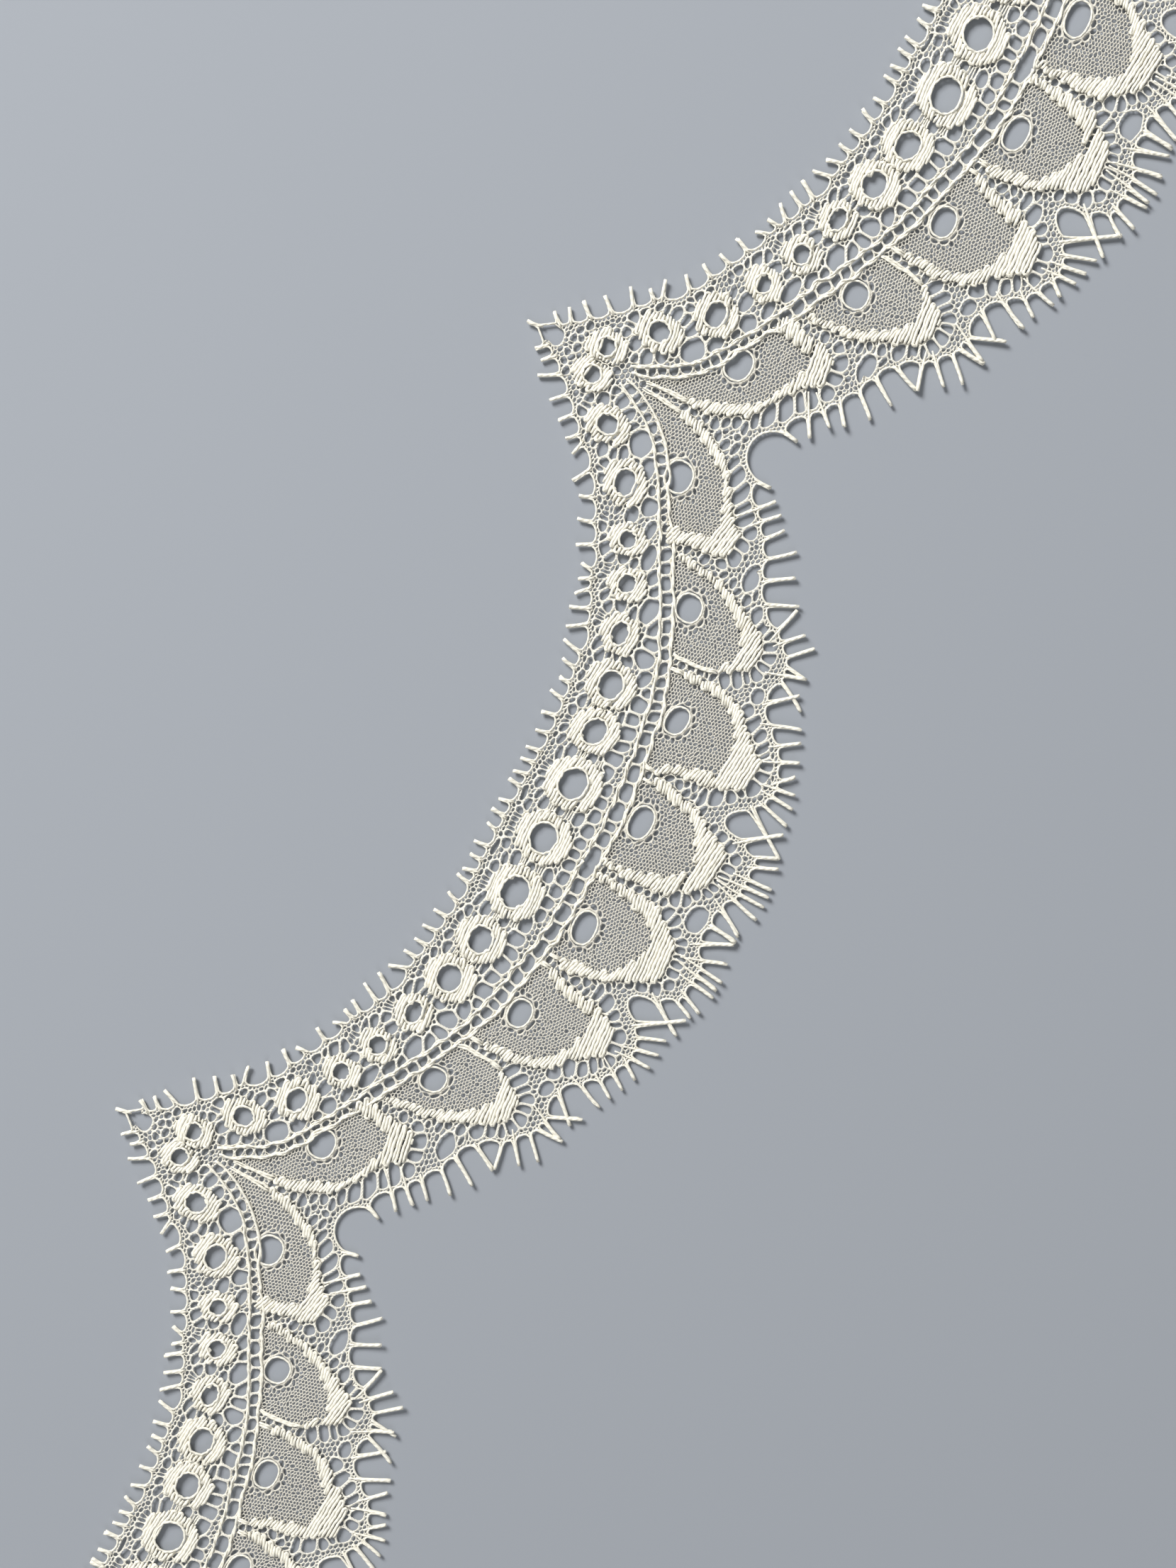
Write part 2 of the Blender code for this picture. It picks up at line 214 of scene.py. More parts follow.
FOOT_ENDS = (  # and how far the thread runs back into the net
    (3.2, -31.2, -0.4, -1.5, 0.6), (5.9, -32.9, -1.4, -1.2, 3.0), (7.2, -34.2, -1.1, -1.4, 2.6),
    (8.9, -35.5, -1.6, -1.4, 1.0), (11.0, -37.0, -2.1, -2.1, 0.8), (13.3, -37.8, -1.6, -2.9, 0.6),
    (15.6, -39.3, -1.3, -3.1, 0.6), (17.2, -41.8, -2.6, -0.7, 2.0), (18.3, -43.1, -2.0, -1.8, 1.6),
    (19.8, -44.6, -2.3, -2.2, 0.6), (21.0, -44.9, 0.1, -3.1, 0.5), (22.2, -45.2, -0.9, -2.4, 2.6),
    (22.9, -45.4, 1.9, -3.7, 0.5), (25.9, -45.1, -2.3, -3.0, 0.8), (28.0, -46.9, -1.3, -3.1, 1.8),
    (29.4, -48.9, -1.1, -1.7, 1.6), (31.1, -49.8, -0.9, -1.8, 2.6), (32.9, -50.7, -1.1, -1.4, 1.2),
    (34.0, -50.9, 0.1, -2.0, 2.4), (35.2, -50.8, 0.3, -2.5, 1.8), (36.5, -50.4, 1.0, -3.1, 1.0),
    (37.8, -49.4, 3.5, -5.3, 0.8), (41.4, -50.4, -3.1, -3.8, 1.6), (42.4, -52.7, -1.1, -1.9, 0.5),
    (43.6, -53.1, -0.9, -2.3, 1.2), (45.4, -53.1, -0.3, -2.8, 2.2), (46.4, -53.1, -0.2, -2.7, 3.4),
    (47.4, -53.1, 0.0, -2.8, 3.4), (48.6, -53.0, 0.7, -2.6, 3.0), (50.2, -51.8, 1.6, -3.4, 1.5),
    (52.4, -52.0, 0.0, -3.3, 0.6),
)
CUSP_GAP, MIDDLE_GAP = 0.2, 0.25  # a feature nearer than this to a mirror line is made once, not twice
SMOOTHING = (0.3, 0.4, 0.3)  # shares of one neighbour, of the point itself and of the other neighbour
TINY = 1e-9  # keeps a division from failing
SMALL = 1e-6  # does so where a wall or an outline can shrink to a point
PETAL_GRID = (0.47, 0.34, 14, 0.4)  # across, down, lean in degrees and shift of the petals' small cells
GROUND_GRID = (0.76, 0.46, 4)
HIDDEN_GRID = (0.8, 0.55, 4)  # under the rings and rims
GROUND_JITTER = (0.13, 0.08)
OPENING_INSET = 0.48  # how much smaller an opening's ring of points is than the opening with its thread
LEAST_RING = 0.04  # least length and height of that ring
POINTS_PER_MM = 3.6  # of its length and height
SLIT_PITCH = 0.27  # between the slits of a bundle of thin threads
STAR_GROWTH = (1.25, 1.2)  # how much larger than an oval the ring of larger cells round it is
STAR_ROOM = (1.12, 1.08)  # from an oval's edge to the nearest fine cells
OPENING_ROOM = 0.17  # from the middle of the thread round an opening to the nearest cells of the ground
TIP_REACH = (1.15, 2.1)  # across and down from a cusp's tip, where the drop's cell reaches the edge
RUNG_START = 0.85  # x of the ladder's first rung
RUNG_PITCH, RUNG_GROWTH = 1.15, 0.016  # between rungs at the cusp, and added for each mm along the strip
RUNG_INSET = (0.36, 0.58)  # how much smaller than the room between rungs and cords an opening is
RING_BAND = (2.05, 2.9)  # width of a middling ring's two sides together, along and across the strip
FINE_THREAD = 0.12  # a thread whose half width is less than this is of a fine net
GROOVE_SHARES = (0.45, 0.55)  # where the crest of a doubled thread lies between wall and opening
LEAST_CELL = 0.004  # area below which a cell is filled, in mm2
STACKS = (1, 2, 3, 4)  # rows that one thread makes before it ends
STACK_ODDS = (0.22, 0.4, 0.25, 0.13)
RIM_POINTS = 26  # of the thread round the hole of a ring
EDGE_STEP = 0.06  # between the points of a line that distances are taken from
EDGE_OFFSET = 0.17  # of the cells either side of the strip's edge
LARGE_GAUGE = 0.115  # an opening with a wider gauge than this has walls of two threads
NARROW_EASE = 0.08  # added to the length and the height of a snug opening
WIDE_EASE = 0.2  # added instead where both are WIDE_FROM or more
WIDE_FROM = 0.75
HEAD_RUN = 0.8  # how far a thread end of the head runs back into the net
LADDER_STEPS = (0.7, 0.95, 1.0, 1.1, 1.35)  # how unevenly the rungs of the ladder stand
VALLEY_RISE = 2.9  # of the foot's arch at each cusp
ARCH_RISE = 0.24  # of the other arches, as a share of their width
TALL_ARCHES = {37.8: 3.0}  # root x of an arch's first end, and its rise


class Group(Enum):
    """The nets that are cut to meshes of their own."""

    HEAD = "head_net"
    FOOT = "foot_net"
    LEFT_PETALS = "left_petal_net"
    RIGHT_PETALS = "right_petal_net"


@dataclass(frozen=True)
class Drift:
    """Slow sideways wander that all threads share, so that no two scallops are quite alike.

    Args:
        reach: Size of each wave, in mm.
        lift: Half of how far the strip can rise off the table, in mm.
        waves: Number of waves added up.
        seed: Picks the waves.
        shortest: Length of the shortest wave, in mm.
        longest: Length of the longest wave, in mm.
    """

    reach: float = 0.13
    lift: float = 0.1
    waves: int = 6
    seed: int = 11
    shortest: float = 16.0
    longest: float = 60.0

    def moved(self, points: np.ndarray) -> np.ndarray:
        """Points after the wander.

        Args:
            points: (n, 2) or (n, 3) places, in mm. Those with a height also rise and sink.

        Returns:
            The places, in mm.
        """
        rng = np.random.default_rng(self.seed)
        out = np.array(points, float)
        for _ in range(self.waves):
            heading, phase, push = rng.uniform(0, 2 * math.pi, 3)
            swing = 2 * math.pi / rng.uniform(self.shortest, self.longest)
            along = points[:, 0] * math.cos(heading) + points[:, 1] * math.sin(heading)
            size = self.reach * np.sin(along * swing + phase)
            out[:, :2] += size[:, None] * np.array([math.cos(push), math.sin(push)])
            if points.shape[1] > 2:
                out[:, 2] += self.lift / self.waves * (1 + np.sin(along * swing * 1.3 + push))
        return out


@dataclass(frozen=True)
class Repeat:
    """The place of one half scallop on the strip.

    Args:
        cusp: x of its cusp, in mm.
        side: 1 where it runs to the right of the cusp, -1 to the left.
    """

    cusp: float
    side: int

    def place(self, points: np.ndarray) -> np.ndarray:
        """Strip places of (n, 2) points of the half scallop, in mm."""
        return np.column_stack([self.cusp + self.side * points[:, 0], points[:, 1]])

    def owns(self, x: float) -> bool:
        """Whether a feature charted at x belongs to this copy, and not to its mirror image."""
        return self.side > 0 or CUSP_GAP <= x <= HALF - MIDDLE_GAP


HALVES = ((-1, 1), (0, -1), (0, 1), (1, -1), (1, 1), (2, -1))  # number of the cusp, and the side
REPEATS = tuple(Repeat(cusp * SCALLOP, side) for cusp, side in HALVES)


@dataclass(frozen=True)
class Gauges:
    """Half the width of the thread round each kind of cell, in mm.

    Args:
        slit: Between the thin threads of a bundle.
        ring: Round the hole of a ring.
        oval: Round the hole of a petal.
        drop: Round the drop at a cusp's tip.
        star: Round the larger cells beside an oval.
        petal: In the fine net of a petal.
        hidden: Under the rings and rims.
        ground: In the ground.
        edge: Along the strip's edge.
    """

    slit: float = 0.08
    ring: float = 0.16
    oval: float = 0.13
    drop: float = 0.14
    star: float = 0.1
    petal: float = 0.07
    hidden: float = 0.1
    ground: float = 0.075
    edge: float = 0.09


GAUGES = Gauges()

# A mesh: its points, the corners of each face, and each corner's place on its thread.
Arrays = tuple[np.ndarray, np.ndarray, np.ndarray]
# A cell's walls by their first end: the other end, the half width, and whether the wall ends the net.
Steps = dict[int, list[tuple[int, float, bool]]]


def curve_through(table: tuple, step: float) -> np.ndarray:
    """A smooth line through a table's points.

    Args:
        table: The points, in order.
        step: Distance between the points returned, in mm.

    Returns:
        (n, 2) points.
    """
    corners = np.array(table, float)
    ahead = np.vstack([2 * corners[0] - corners[1], corners, 2 * corners[-1] - corners[-2]])
    pieces = []
    for a, b, c, d in zip(ahead, ahead[1:], ahead[2:], ahead[3:]):
        t = np.linspace(0, 1, 12, endpoint=False)[:, None]
        pieces.append(
            0.5 * (2 * b + (c - a) * t + (2 * a - 5 * b + 4 * c - d) * t**2 + (3 * b - a - 3 * c + d) * t**3)
        )
    return evened(np.vstack([*pieces, corners[-1:]]), step)


def lengths_along(line: np.ndarray) -> np.ndarray:
    """How far along a line each of its points lies, seen from above."""
    return np.concatenate([[0.0], np.cumsum(np.linalg.norm(np.diff(line[:, :2], axis=0), axis=1))])


def closed_line(outline: np.ndarray) -> np.ndarray:
    """An outline with its first point again at its end."""
    return np.vstack([outline, outline[:1]])


def directions(line: np.ndarray, closed: bool = False) -> np.ndarray:
    """Which way a line runs at each of its points, as steps of length 1."""
    ahead = np.roll(line, -1, axis=0) - np.roll(line, 1, axis=0) if closed else np.gradient(line, axis=0)
    return ahead / np.maximum(np.linalg.norm(ahead, axis=1), TINY)[:, None]


def rotation(degrees: float) -> np.ndarray:
    """The matrix that turns rows of x and y to the left."""
    a = math.radians(degrees)
    return np.array([[math.cos(a), math.sin(a)], [-math.sin(a), math.cos(a)]])


def wander(rng: np.random.Generator, size: float, count: int) -> np.ndarray:
    """Random differences that change smoothly from one point to the next."""
    return np.convolve(rng.normal(0, size, count + 2), SMOOTHING, "valid")


def height_of(line: np.ndarray, x: float | np.ndarray) -> np.ndarray:
    """Height of a line above each x."""
    return np.interp(x, line[:, 0], line[:, 1])


def evened(line: np.ndarray, step: float) -> np.ndarray:
    """The line again, with its points evenly spaced.

    Args:
        line: (n, k) points.
        step: Distance between the points returned, in mm.

    Returns:
        (m, k) points.
    """
    along = lengths_along(line)
    at = np.linspace(0, along[-1], max(2, round(along[-1] / step) + 1))
    return np.column_stack([np.interp(at, along, line[:, k]) for k in range(line.shape[1])])


def oval(
    x: float, y: float, length: float, height: float, turn: float, count: int, power: float = 2.3
) -> np.ndarray:
    """Points round a rounded oval.

    Args:
        x: Middle, in mm.
        y: Middle, in mm.
        length: Full length, in mm.
        height: Full height, in mm.
        turn: Turn to the left, in degrees.
        count: Number of points.
        power: 2 for an ellipse, more for squarer corners.

    Returns:
        (count, 2) points, anticlockwise.
    """
    angles = np.arange(count) * 2 * math.pi / count
    c, s = np.cos(angles), np.sin(angles)
    along = np.sign(c) * np.abs(c) ** (2 / power) * length
    across = np.sign(s) * np.abs(s) ** (2 / power) * height
    return np.column_stack([along, across]) / 2 @ rotation(turn) + (x, y)


def inside(points: np.ndarray, outline: np.ndarray) -> np.ndarray:
    """Which points lie inside an outline.

    Args:
        points: (n, 2) points.
        outline: (m, 2) corners.

    Returns:
        (n,) booleans.
    """
    found = np.zeros(len(points), bool)
    for (x0, y0), (x1, y1) in zip(outline, np.roll(outline, -1, axis=0)):
        if y0 != y1:
            spans = (y0 > points[:, 1]) != (y1 > points[:, 1])
            found ^= spans & (points[:, 0] < x0 + (points[:, 1] - y0) * (x1 - x0) / (y1 - y0))
    return found


def gap_to(points: np.ndarray, line: np.ndarray) -> np.ndarray:
    """Distance from each of (n, 2) points to a line, whose own points are closely spaced."""
    tree = tree_of(line)
    return np.array([tree.find((x, y, 0))[2] for x, y in points.tolist()])


def tree_of(points: np.ndarray) -> KDTree:
    """A search tree of points.

    Args:
        points: (n, 2) points.

    Returns:
        The tree.
    """
    tree = KDTree(len(points))
    for k, (x, y) in enumerate(points.tolist()):
        tree.insert((x, y, 0), k)
    tree.balance()
    return tree


class Skein:
    """Threads laid one by one, then joined into one mesh of closed tubes."""

    def __init__(self, drift: Drift, sides: int = 6) -> None:
        """An empty skein.

        Args:
            drift: The wander that the threads follow.
            sides: Sides of each tube, an even number.
        """
        self.drift = drift
        self.sides = sides
        self.points: list[np.ndarray] = []
        self.quads: list[np.ndarray] = []
        self.maps: list[np.ndarray] = []
        self.count = 0

    def lay(
        self,
        flat: np.ndarray,
        lift: float | np.ndarray,
        width: float | np.ndarray,
        depth: float,
        closed: bool = False,
    ) -> None:
        """Adds one thread.

        Args:
            flat: (n, 2) points down its middle, on the strip, in mm.
            lift: Height of its middle, in mm, or one height for each point.
            width: Its width, in mm, or one width for each point.
            depth: Its height as a share of its width.
            closed: True if its end joins its start.
        """
        line = np.column_stack([flat, np.broadcast_to(lift, len(flat))])
        keep = (line[:, 0] > CUT_LEFT) & (line[:, 0] < CUT_RIGHT)
        if not keep.all():
            if closed or keep.sum() < 2:
                return
            first = int(np.argmax(keep))
            last = first + int(np.argmin(np.append(keep[first:], False)))
            line = line[first:last]
            width = width[first:last] if isinstance(width, np.ndarray) else width
            if len(line) < 2:
                return
        line = self.drift.moved(line)
        flat = line[:, :2]
        n = len(flat)
        ahead = directions(flat, closed)
        half = np.broadcast_to(np.asarray(width, float) / 2, (n,))
        turns = (np.arange(self.sides) + 0.5) * 2 * math.pi / self.sides
        across = np.stack([-ahead[:, 1], ahead[:, 0]], 1)
        ring = np.empty((n, self.sides, 3))
        out = np.cos(turns)[None, :, None] * half[:, None, None]
        ring[:, :, :2] = flat[:, None] + across[:, None] * out
        ring[:, :, 2] = line[:, 2:3] + np.sin(turns)[None] * half[:, None] * depth
        rows = n if closed else n - 1
        i, k = np.meshgrid(np.arange(rows), np.arange(self.sides), indexing="ij")
        i1, k1 = (i + 1) % n, (k + 1) % self.sides
        s = self.sides
        quads = np.stack([i * s + k, i1 * s + k, i1 * s + k1, i * s + k1], -1).reshape(-1, 4)
        run = lengths_along(flat)
        run = np.append(run, run[-1] + 0.3)
        lengthways = np.stack([run[i], run[i + 1], run[i + 1], run[i]], -1)
        around = np.stack([k, k, k + 1, k + 1], -1) / s
        maps = np.stack([lengthways, around], -1).reshape(-1, 4, 2)
        if not closed:
            half_way = s // 2
            caps = []
            for base, flip in ((0, False), ((n - 1) * s, True)):
                for j in range(half_way - 1):
                    cap = [base + j, base + j + 1, base + s - 2 - j, base + s - 1 - j]
                    caps.append(cap[::-1] if flip else cap)
            quads = np.vstack([quads, caps])
            maps = np.vstack([maps, np.zeros((len(caps), 4, 2))])
        self.points.append(ring.reshape(-1, 3))
        self.quads.append(quads + self.count)
        self.maps.append(maps)
        self.count += n * s

    def mesh(self, name: str) -> bpy.types.Object:
        """The finished mesh, as a piece of this name."""
        return quad_mesh(name, np.vstack(self.points), np.vstack(self.quads), np.vstack(self.maps))


def quad_mesh(name: str, points: np.ndarray, quads: np.ndarray, maps: np.ndarray) -> bpy.types.Object:
    """A smooth mesh object from arrays.

    Args:
        name: Name of the piece.
        points: (n, 3) points on the strip, in mm.
        quads: (m, 4) corners of each face. A triangle's fourth corner is -1.
        maps: (m, 4, 2) place of each corner on its thread.

    Returns:
        The object, in metres and centred in the frame.
    """
    mesh = bpy.data.meshes.new(name)
    world = points.copy()
    world[:, :2] -= STRIP_MIDDLE
    used = quads.ravel() >= 0
    corners = quads.ravel()[used]
    sizes = (quads >= 0).sum(axis=1)
    mesh.vertices.add(len(world))
    mesh.vertices.foreach_set("co", (world * MM).astype(np.float32).ravel())
    mesh.loops.add(len(corners))
    mesh.loops.foreach_set("vertex_index", corners.astype(np.int32))
    mesh.polygons.add(len(quads))
    mesh.polygons.foreach_set("loop_start", (np.cumsum(sizes) - sizes).astype(np.int32))
    mesh.polygons.foreach_set("use_smooth", np.ones(len(quads), bool))
    layer = mesh.uv_layers.new(name="thread")
    layer.uv.foreach_set("vector", maps.reshape(-1, 2)[used].astype(np.float32).ravel())
    mesh.update(calc_edges=True)
    mesh.validate()
    made = bpy.data.objects.new(name, mesh)
    bpy.context.scene.collection.objects.link(made)
    return made


@dataclass(frozen=True)
class Strip:
    """Adds strips of faces along a cell's walls.

    Args:
        run: How far along the walls each corner lies, in mm.
        faces: Takes the corners of each face.
        maps: Takes the place of each corner on its thread.
    """

    run: np.ndarray
    faces: list[np.ndarray]
    maps: list[np.ndarray]

    def add(
        self, a: np.ndarray, b: np.ndarray, c: np.ndarray, d: np.ndarray, over: float, under: float
    ) -> None:
        """Adds one strip, a face for each wall.

        Args:
            a: Each face's first corner, on the strip's first line.
            b: Its next corner, on the same line.
            c: Its corner on the strip's other line, beside b.
            d: Its corner on that line, beside a.
            over: Place of the first line round the thread, as a share of a turn.
            under: Place of the other line.
        """
        self.faces.append(np.column_stack([a, b, c, d]))
        u = np.column_stack([self.run[:-1], self.run[1:], self.run[1:], self.run[:-1]])
        v = np.tile([over, over, under, under], (len(u), 1))
        self.maps.append(np.stack([u, v], -1))


@dataclass
class Net:
    """A net drawn by its openings: threads run along the walls between neighbouring cells.

    Args:
        drift: The wander that the threads follow.
        squeeze: Cells grow this much longer along the strip than across it.
        apart: Least distance between the middles of two cells, in mm.
        flatness: Height of a thread as a share of its width.
        farthest: How far a wall's end can lie from the cells it parts, in mm.
        pulls: How many times the walls are pulled straighter.
        pull: How far each time, as a share of the whole way.
    """

    drift: Drift
    squeeze: float = 1.25
    apart: float = 0.23
    flatness: float = 0.9
    farthest: float = 1.2
    pulls: int = 3
    pull: float = 0.35
    rows: list[np.ndarray] = field(default_factory=list)
    next_label: int = 0

    def opening(self, points: np.ndarray, gauge: float, group: Group, clear: float = 0.12) -> None:
        """Adds one cell made of several points. They stay the clearance away from the strip's edge."""
        self._add(points, np.full(len(points), self.next_label), gauge, group, clear, 0)
        self.next_label += 1

    def cells(self, points: np.ndarray, gauge: float, group: Group, clear: float, rank: int) -> None:
        """Adds a small cell at each point. Where two are too close, the higher rank gives way."""
        self._add(points, self.next_label + np.arange(len(points)), gauge, group, clear, rank)
        self.next_label += len(points)

    def extend(self, number: int, points: np.ndarray, gauge: float, group: Group) -> None:
        """Adds points to a cell that is there already."""
        self._add(points, np.full(len(points), number), gauge, group, 0.0, 0)

    def _add(
        self,
        points: np.ndarray,
        labels: np.ndarray,
        gauge: float,
        group: Group | None,
        clear: float,
        rank: int,
    ) -> None:
        """Stores points, one row each: x, y, cell, gauge, group, clearance and rank.

        Args:
            points: (n, 2) places.
            labels: (n,) number of the cell each belongs to, -1 for none.
            gauge: Half a thread's width, in mm.
            group: The net, or None for no net.
            clear: How far they stay from the strip's edge, in mm.
            rank: Where two places are too close, the higher rank gives way.
        """
        number = -1 if group is None else list(Group).index(group)
        rest = np.tile([gauge, number, clear, rank], (len(points), 1))
        self.rows.append(np.column_stack([points, labels, rest]))

    def trim(self, region: np.ndarray) -> None:
        """Drops every place that lies outside the strip, too near its edge or too near another cell.

        Args:
            region: Outline of the strip, in mm.
        """
        rows = np.vstack(self.rows)
        rows = rows[inside(rows[:, :2], region)]
        rows = rows[gap_to(rows[:, :2], evened(closed_line(region), EDGE_STEP)) > rows[:, 5]]
        rows = rows[np.argsort(rows[:, 6], kind="stable")]
        tree = tree_of(rows[:, :2])
        labels = rows[:, 2].tolist()
        keep = np.ones(len(rows), bool)
        for k in np.flatnonzero(rows[:, 6] > 0).tolist():
            near = tree.find_range((rows[k, 0], rows[k, 1], 0), self.apart)
            keep[k] = not any(j < k and keep[j] and labels[j] != labels[k] for _, j, _ in near)
        self.rows = [rows[keep]]

    def fence(self, places: np.ndarray) -> None:
        """Marks places outside the strip, where there is no net."""
        self._add(places, np.full(len(places), -1), GAUGES.edge, None, 0.0, 0)

    def weave(self) -> dict[Group, Arrays]:
        """Builds the nets.

        Returns:
            For each group, its points in mm, the corners of each face and each corner's place on its thread.
        """
        rows = np.vstack(self.rows)
        places, gauge = rows[:, :2], rows[:, 3]
        label, group = rows[:, 2].astype(int), rows[:, 4].astype(int)
        spread = places * (1.0, self.squeeze)
        out = delaunay_2d_cdt([Vector(p) for p in spread], [], [], 0, 1e-7, True)
        site = np.array([ids[0] if ids else -1 for ids in out[3]])
        corners = np.array([tuple(v) for v in out[0]])
        faces = np.array([tuple(f) for f in out[2]])
        a, b, c = (corners[faces[:, k]] for k in range(3))
        ab, ac = b - a, c - a
        double = 2 * (ab[:, 0] * ac[:, 1] - ab[:, 1] * ac[:, 0])
        la, lb = (ab**2).sum(1), (ac**2).sum(1)
        safe = np.where(np.abs(double) < 1e-12, 1e-12, double)
        off = np.column_stack([ac[:, 1] * la - ab[:, 1] * lb, ab[:, 0] * lb - ac[:, 0] * la])
        centre = a + off / safe[:, None]
        middle = (a + b + c) / 3
        off = centre - middle
        far = np.linalg.norm(off, axis=1)
        centre = middle + off * np.minimum(1, self.farthest / np.maximum(far, TINY))[:, None]
        centre /= (1.0, self.squeeze)
        faces = site[faces]
        starts, ends = faces.ravel(), np.roll(faces, -1, axis=1).ravel()
        owner = np.repeat(np.arange(len(faces)), 3)
        order = {(s, e): f for s, e, f in zip(starts.tolist(), ends.tolist(), owner.tolist())}
        rows = [(s, e, f, order[e, s]) for (s, e), f in order.items() if s < e and (e, s) in order]
        walls = np.array(rows)
        la, lb = label[walls[:, 0]], label[walls[:, 1]]
        walls = walls[la != lb]
        centre = self._relaxed(centre, walls)
        return {
            which: self._cut(centre, walls, label, gauge, group == number)
            for number, which in enumerate(Group)
        }

    def _relaxed(self, centre: np.ndarray, walls: np.ndarray) -> np.ndarray:
        """Wall ends pulled towards their neighbours, as threads under tension are.

        Args:
            centre: (n, 2) wall ends.
            walls: Rows of two sites and the two ends of the wall between them.

        Returns:
            (n, 2) wall ends.
        """
        for _ in range(self.pulls):
            total, count = np.zeros_like(centre), np.zeros(len(centre))
            for near, far in ((2, 3), (3, 2)):
                np.add.at(total, walls[:, near], centre[walls[:, far]])
                np.add.at(count, walls[:, near], 1)
            has = count > 1
            centre = centre.copy()
            centre[has] += self.pull * (total[has] / count[has, None] - centre[has])
        return centre

    def _cut(
        self, centre: np.ndarray, walls: np.ndarray, label: np.ndarray, gauge: np.ndarray, mine: np.ndarray
    ) -> Arrays:
        """The mesh of one group: each cell's threads slope from the middle of a wall to the opening.

        A wall beside a large opening is two threads side by side, with a groove along its middle.

        Args:
            centre: (n, 2) wall ends.
            walls: Rows of two sites and the two ends of the wall between them.
            label: Cell number of each site.
            gauge: Half a thread's width at each site.
            mine: Whether each site is in the group.

        Returns:
            The points in mm, the corners of each face and the place of each corner on its thread.
        """
        follow: dict[int, Steps] = {}
        reach: dict[int, float] = {}
        width = (gauge[walls[:, 0]] + gauge[walls[:, 1]]) / 2
        run = centre[walls[:, 2]] - centre[walls[:, 3]]
        level = (run[:, 0] / np.maximum(np.linalg.norm(run, axis=1), SMALL)) ** 2
        # In the fine nets, the threads along the strip are the stouter.
        width *= np.where(width < FINE_THREAD, 0.8 + 0.45 * level, 1.0)
        for (s, e, left, right), half in zip(walls.tolist(), width.tolist()):
            for near, far, begin, end in ((s, e, right, left), (e, s, left, right)):
                if mine[near]:
                    steps = follow.setdefault(int(label[near]), {})
                    steps.setdefault(begin, []).append((end, half, not mine[far]))
                    reach[begin] = max(reach.get(begin, 0.0), half)
                    reach[end] = max(reach.get(end, 0.0), half)
        large = dict(zip(label.tolist(), (gauge > LARGE_GAUGE).tolist()))
        grooved = {v for number, steps in follow.items() if large[number] for v in steps}
        rng = np.random.default_rng(3)
        points: list[np.ndarray] = []
        faces: list[np.ndarray] = []
        maps: list[np.ndarray] = []
        ridge: dict[int, int] = {}
        count = 0
        for number, steps in follow.items():
            for loop, halves, edge in closed_loops(steps):
                for v in loop:
                    if v not in ridge:
                        lift = self.flatness * reach[v]
                        top = lift * 0.55 if v in grooved else lift
                        points.append(np.array([(*centre[v], NET_LIFT + top), (*centre[v], NET_LIFT - lift)]))
                        ridge[v] = count
                        count += 2
                top = np.array([ridge[v] for v in loop])
                lift = np.array([self.flatness * reach[v] for v in loop])
                n, after = len(loop), np.roll(top, -1)
                outline = centre[loop]
                strip = Strip(lengths_along(closed_line(outline)), faces, maps)
                hole = opening_outline(outline, halves)
                if edge.any():
                    strip.add(top, after, after + 1, top + 1, 0.0, 0.5)
                    faces[-1], maps[-1] = faces[-1][edge][:, ::-1], maps[-1][edge][:, ::-1]
                if hole is None:
                    middle = outline.mean(axis=0)
                    rise = 0.7 * float(lift.mean())
                    points.append(np.array([(*middle, NET_LIFT + rise), (*middle, NET_LIFT - rise)]))
                    none = np.full(n, -1)
                    strip.add(top, after, np.full(n, count), none, 0.0, 0.5)
                    strip.add(after + 1, top + 1, np.full(n, count + 1), none, 0.0, 0.5)
                    count += 2
                    continue
                sag = NET_LIFT + rng.normal(0, 0.012)
                points.append(np.column_stack([hole, np.full(n, sag)]))
                rim = count + np.arange(n)
                count += n
                upper = top
                if large[number]:
                    crest = outline * GROOVE_SHARES[0] + hole * GROOVE_SHARES[1]
                    points.append(np.column_stack([crest, NET_LIFT + 0.95 * lift]))
                    upper = count + np.arange(n)
                    count += n
                    strip.add(top, after, np.roll(upper, -1), upper, 0.0, 0.2)
                strip.add(upper, np.roll(upper, -1), np.roll(rim, -1), rim, 0.2, 0.5)
                strip.add(after + 1, top + 1, rim, np.roll(rim, -1), 1.0, 0.5)
        return self.drift.moved(np.vstack(points)), np.vstack(faces), np.vstack(maps)


def closed_loops(steps: Steps) -> list[tuple[list[int], np.ndarray, np.ndarray]]:
    """Follows a cell's walls into closed outlines.

    Args:
        steps: For each wall's first end, its other end, its half width and whether it ends the net.

    Returns:
        For each outline, its corners, the half width at each and whether each wall ends the net.
    """
    loops = []
    while steps:
        start = next(iter(steps))
        here, corners, halves, edge = start, [], [], []
        while here in steps:
            end, half, last = steps[here].pop()
            if not steps[here]:
                del steps[here]
            corners.append(here)
            halves.append(half)
            edge.append(last)
            here = end
            if here == start:
                break
        if here == start and len(corners) > 2:
            sizes = np.array(halves)
            loops.append((corners, (sizes + np.roll(sizes, 1)) / 2, np.array(edge)))
    return loops


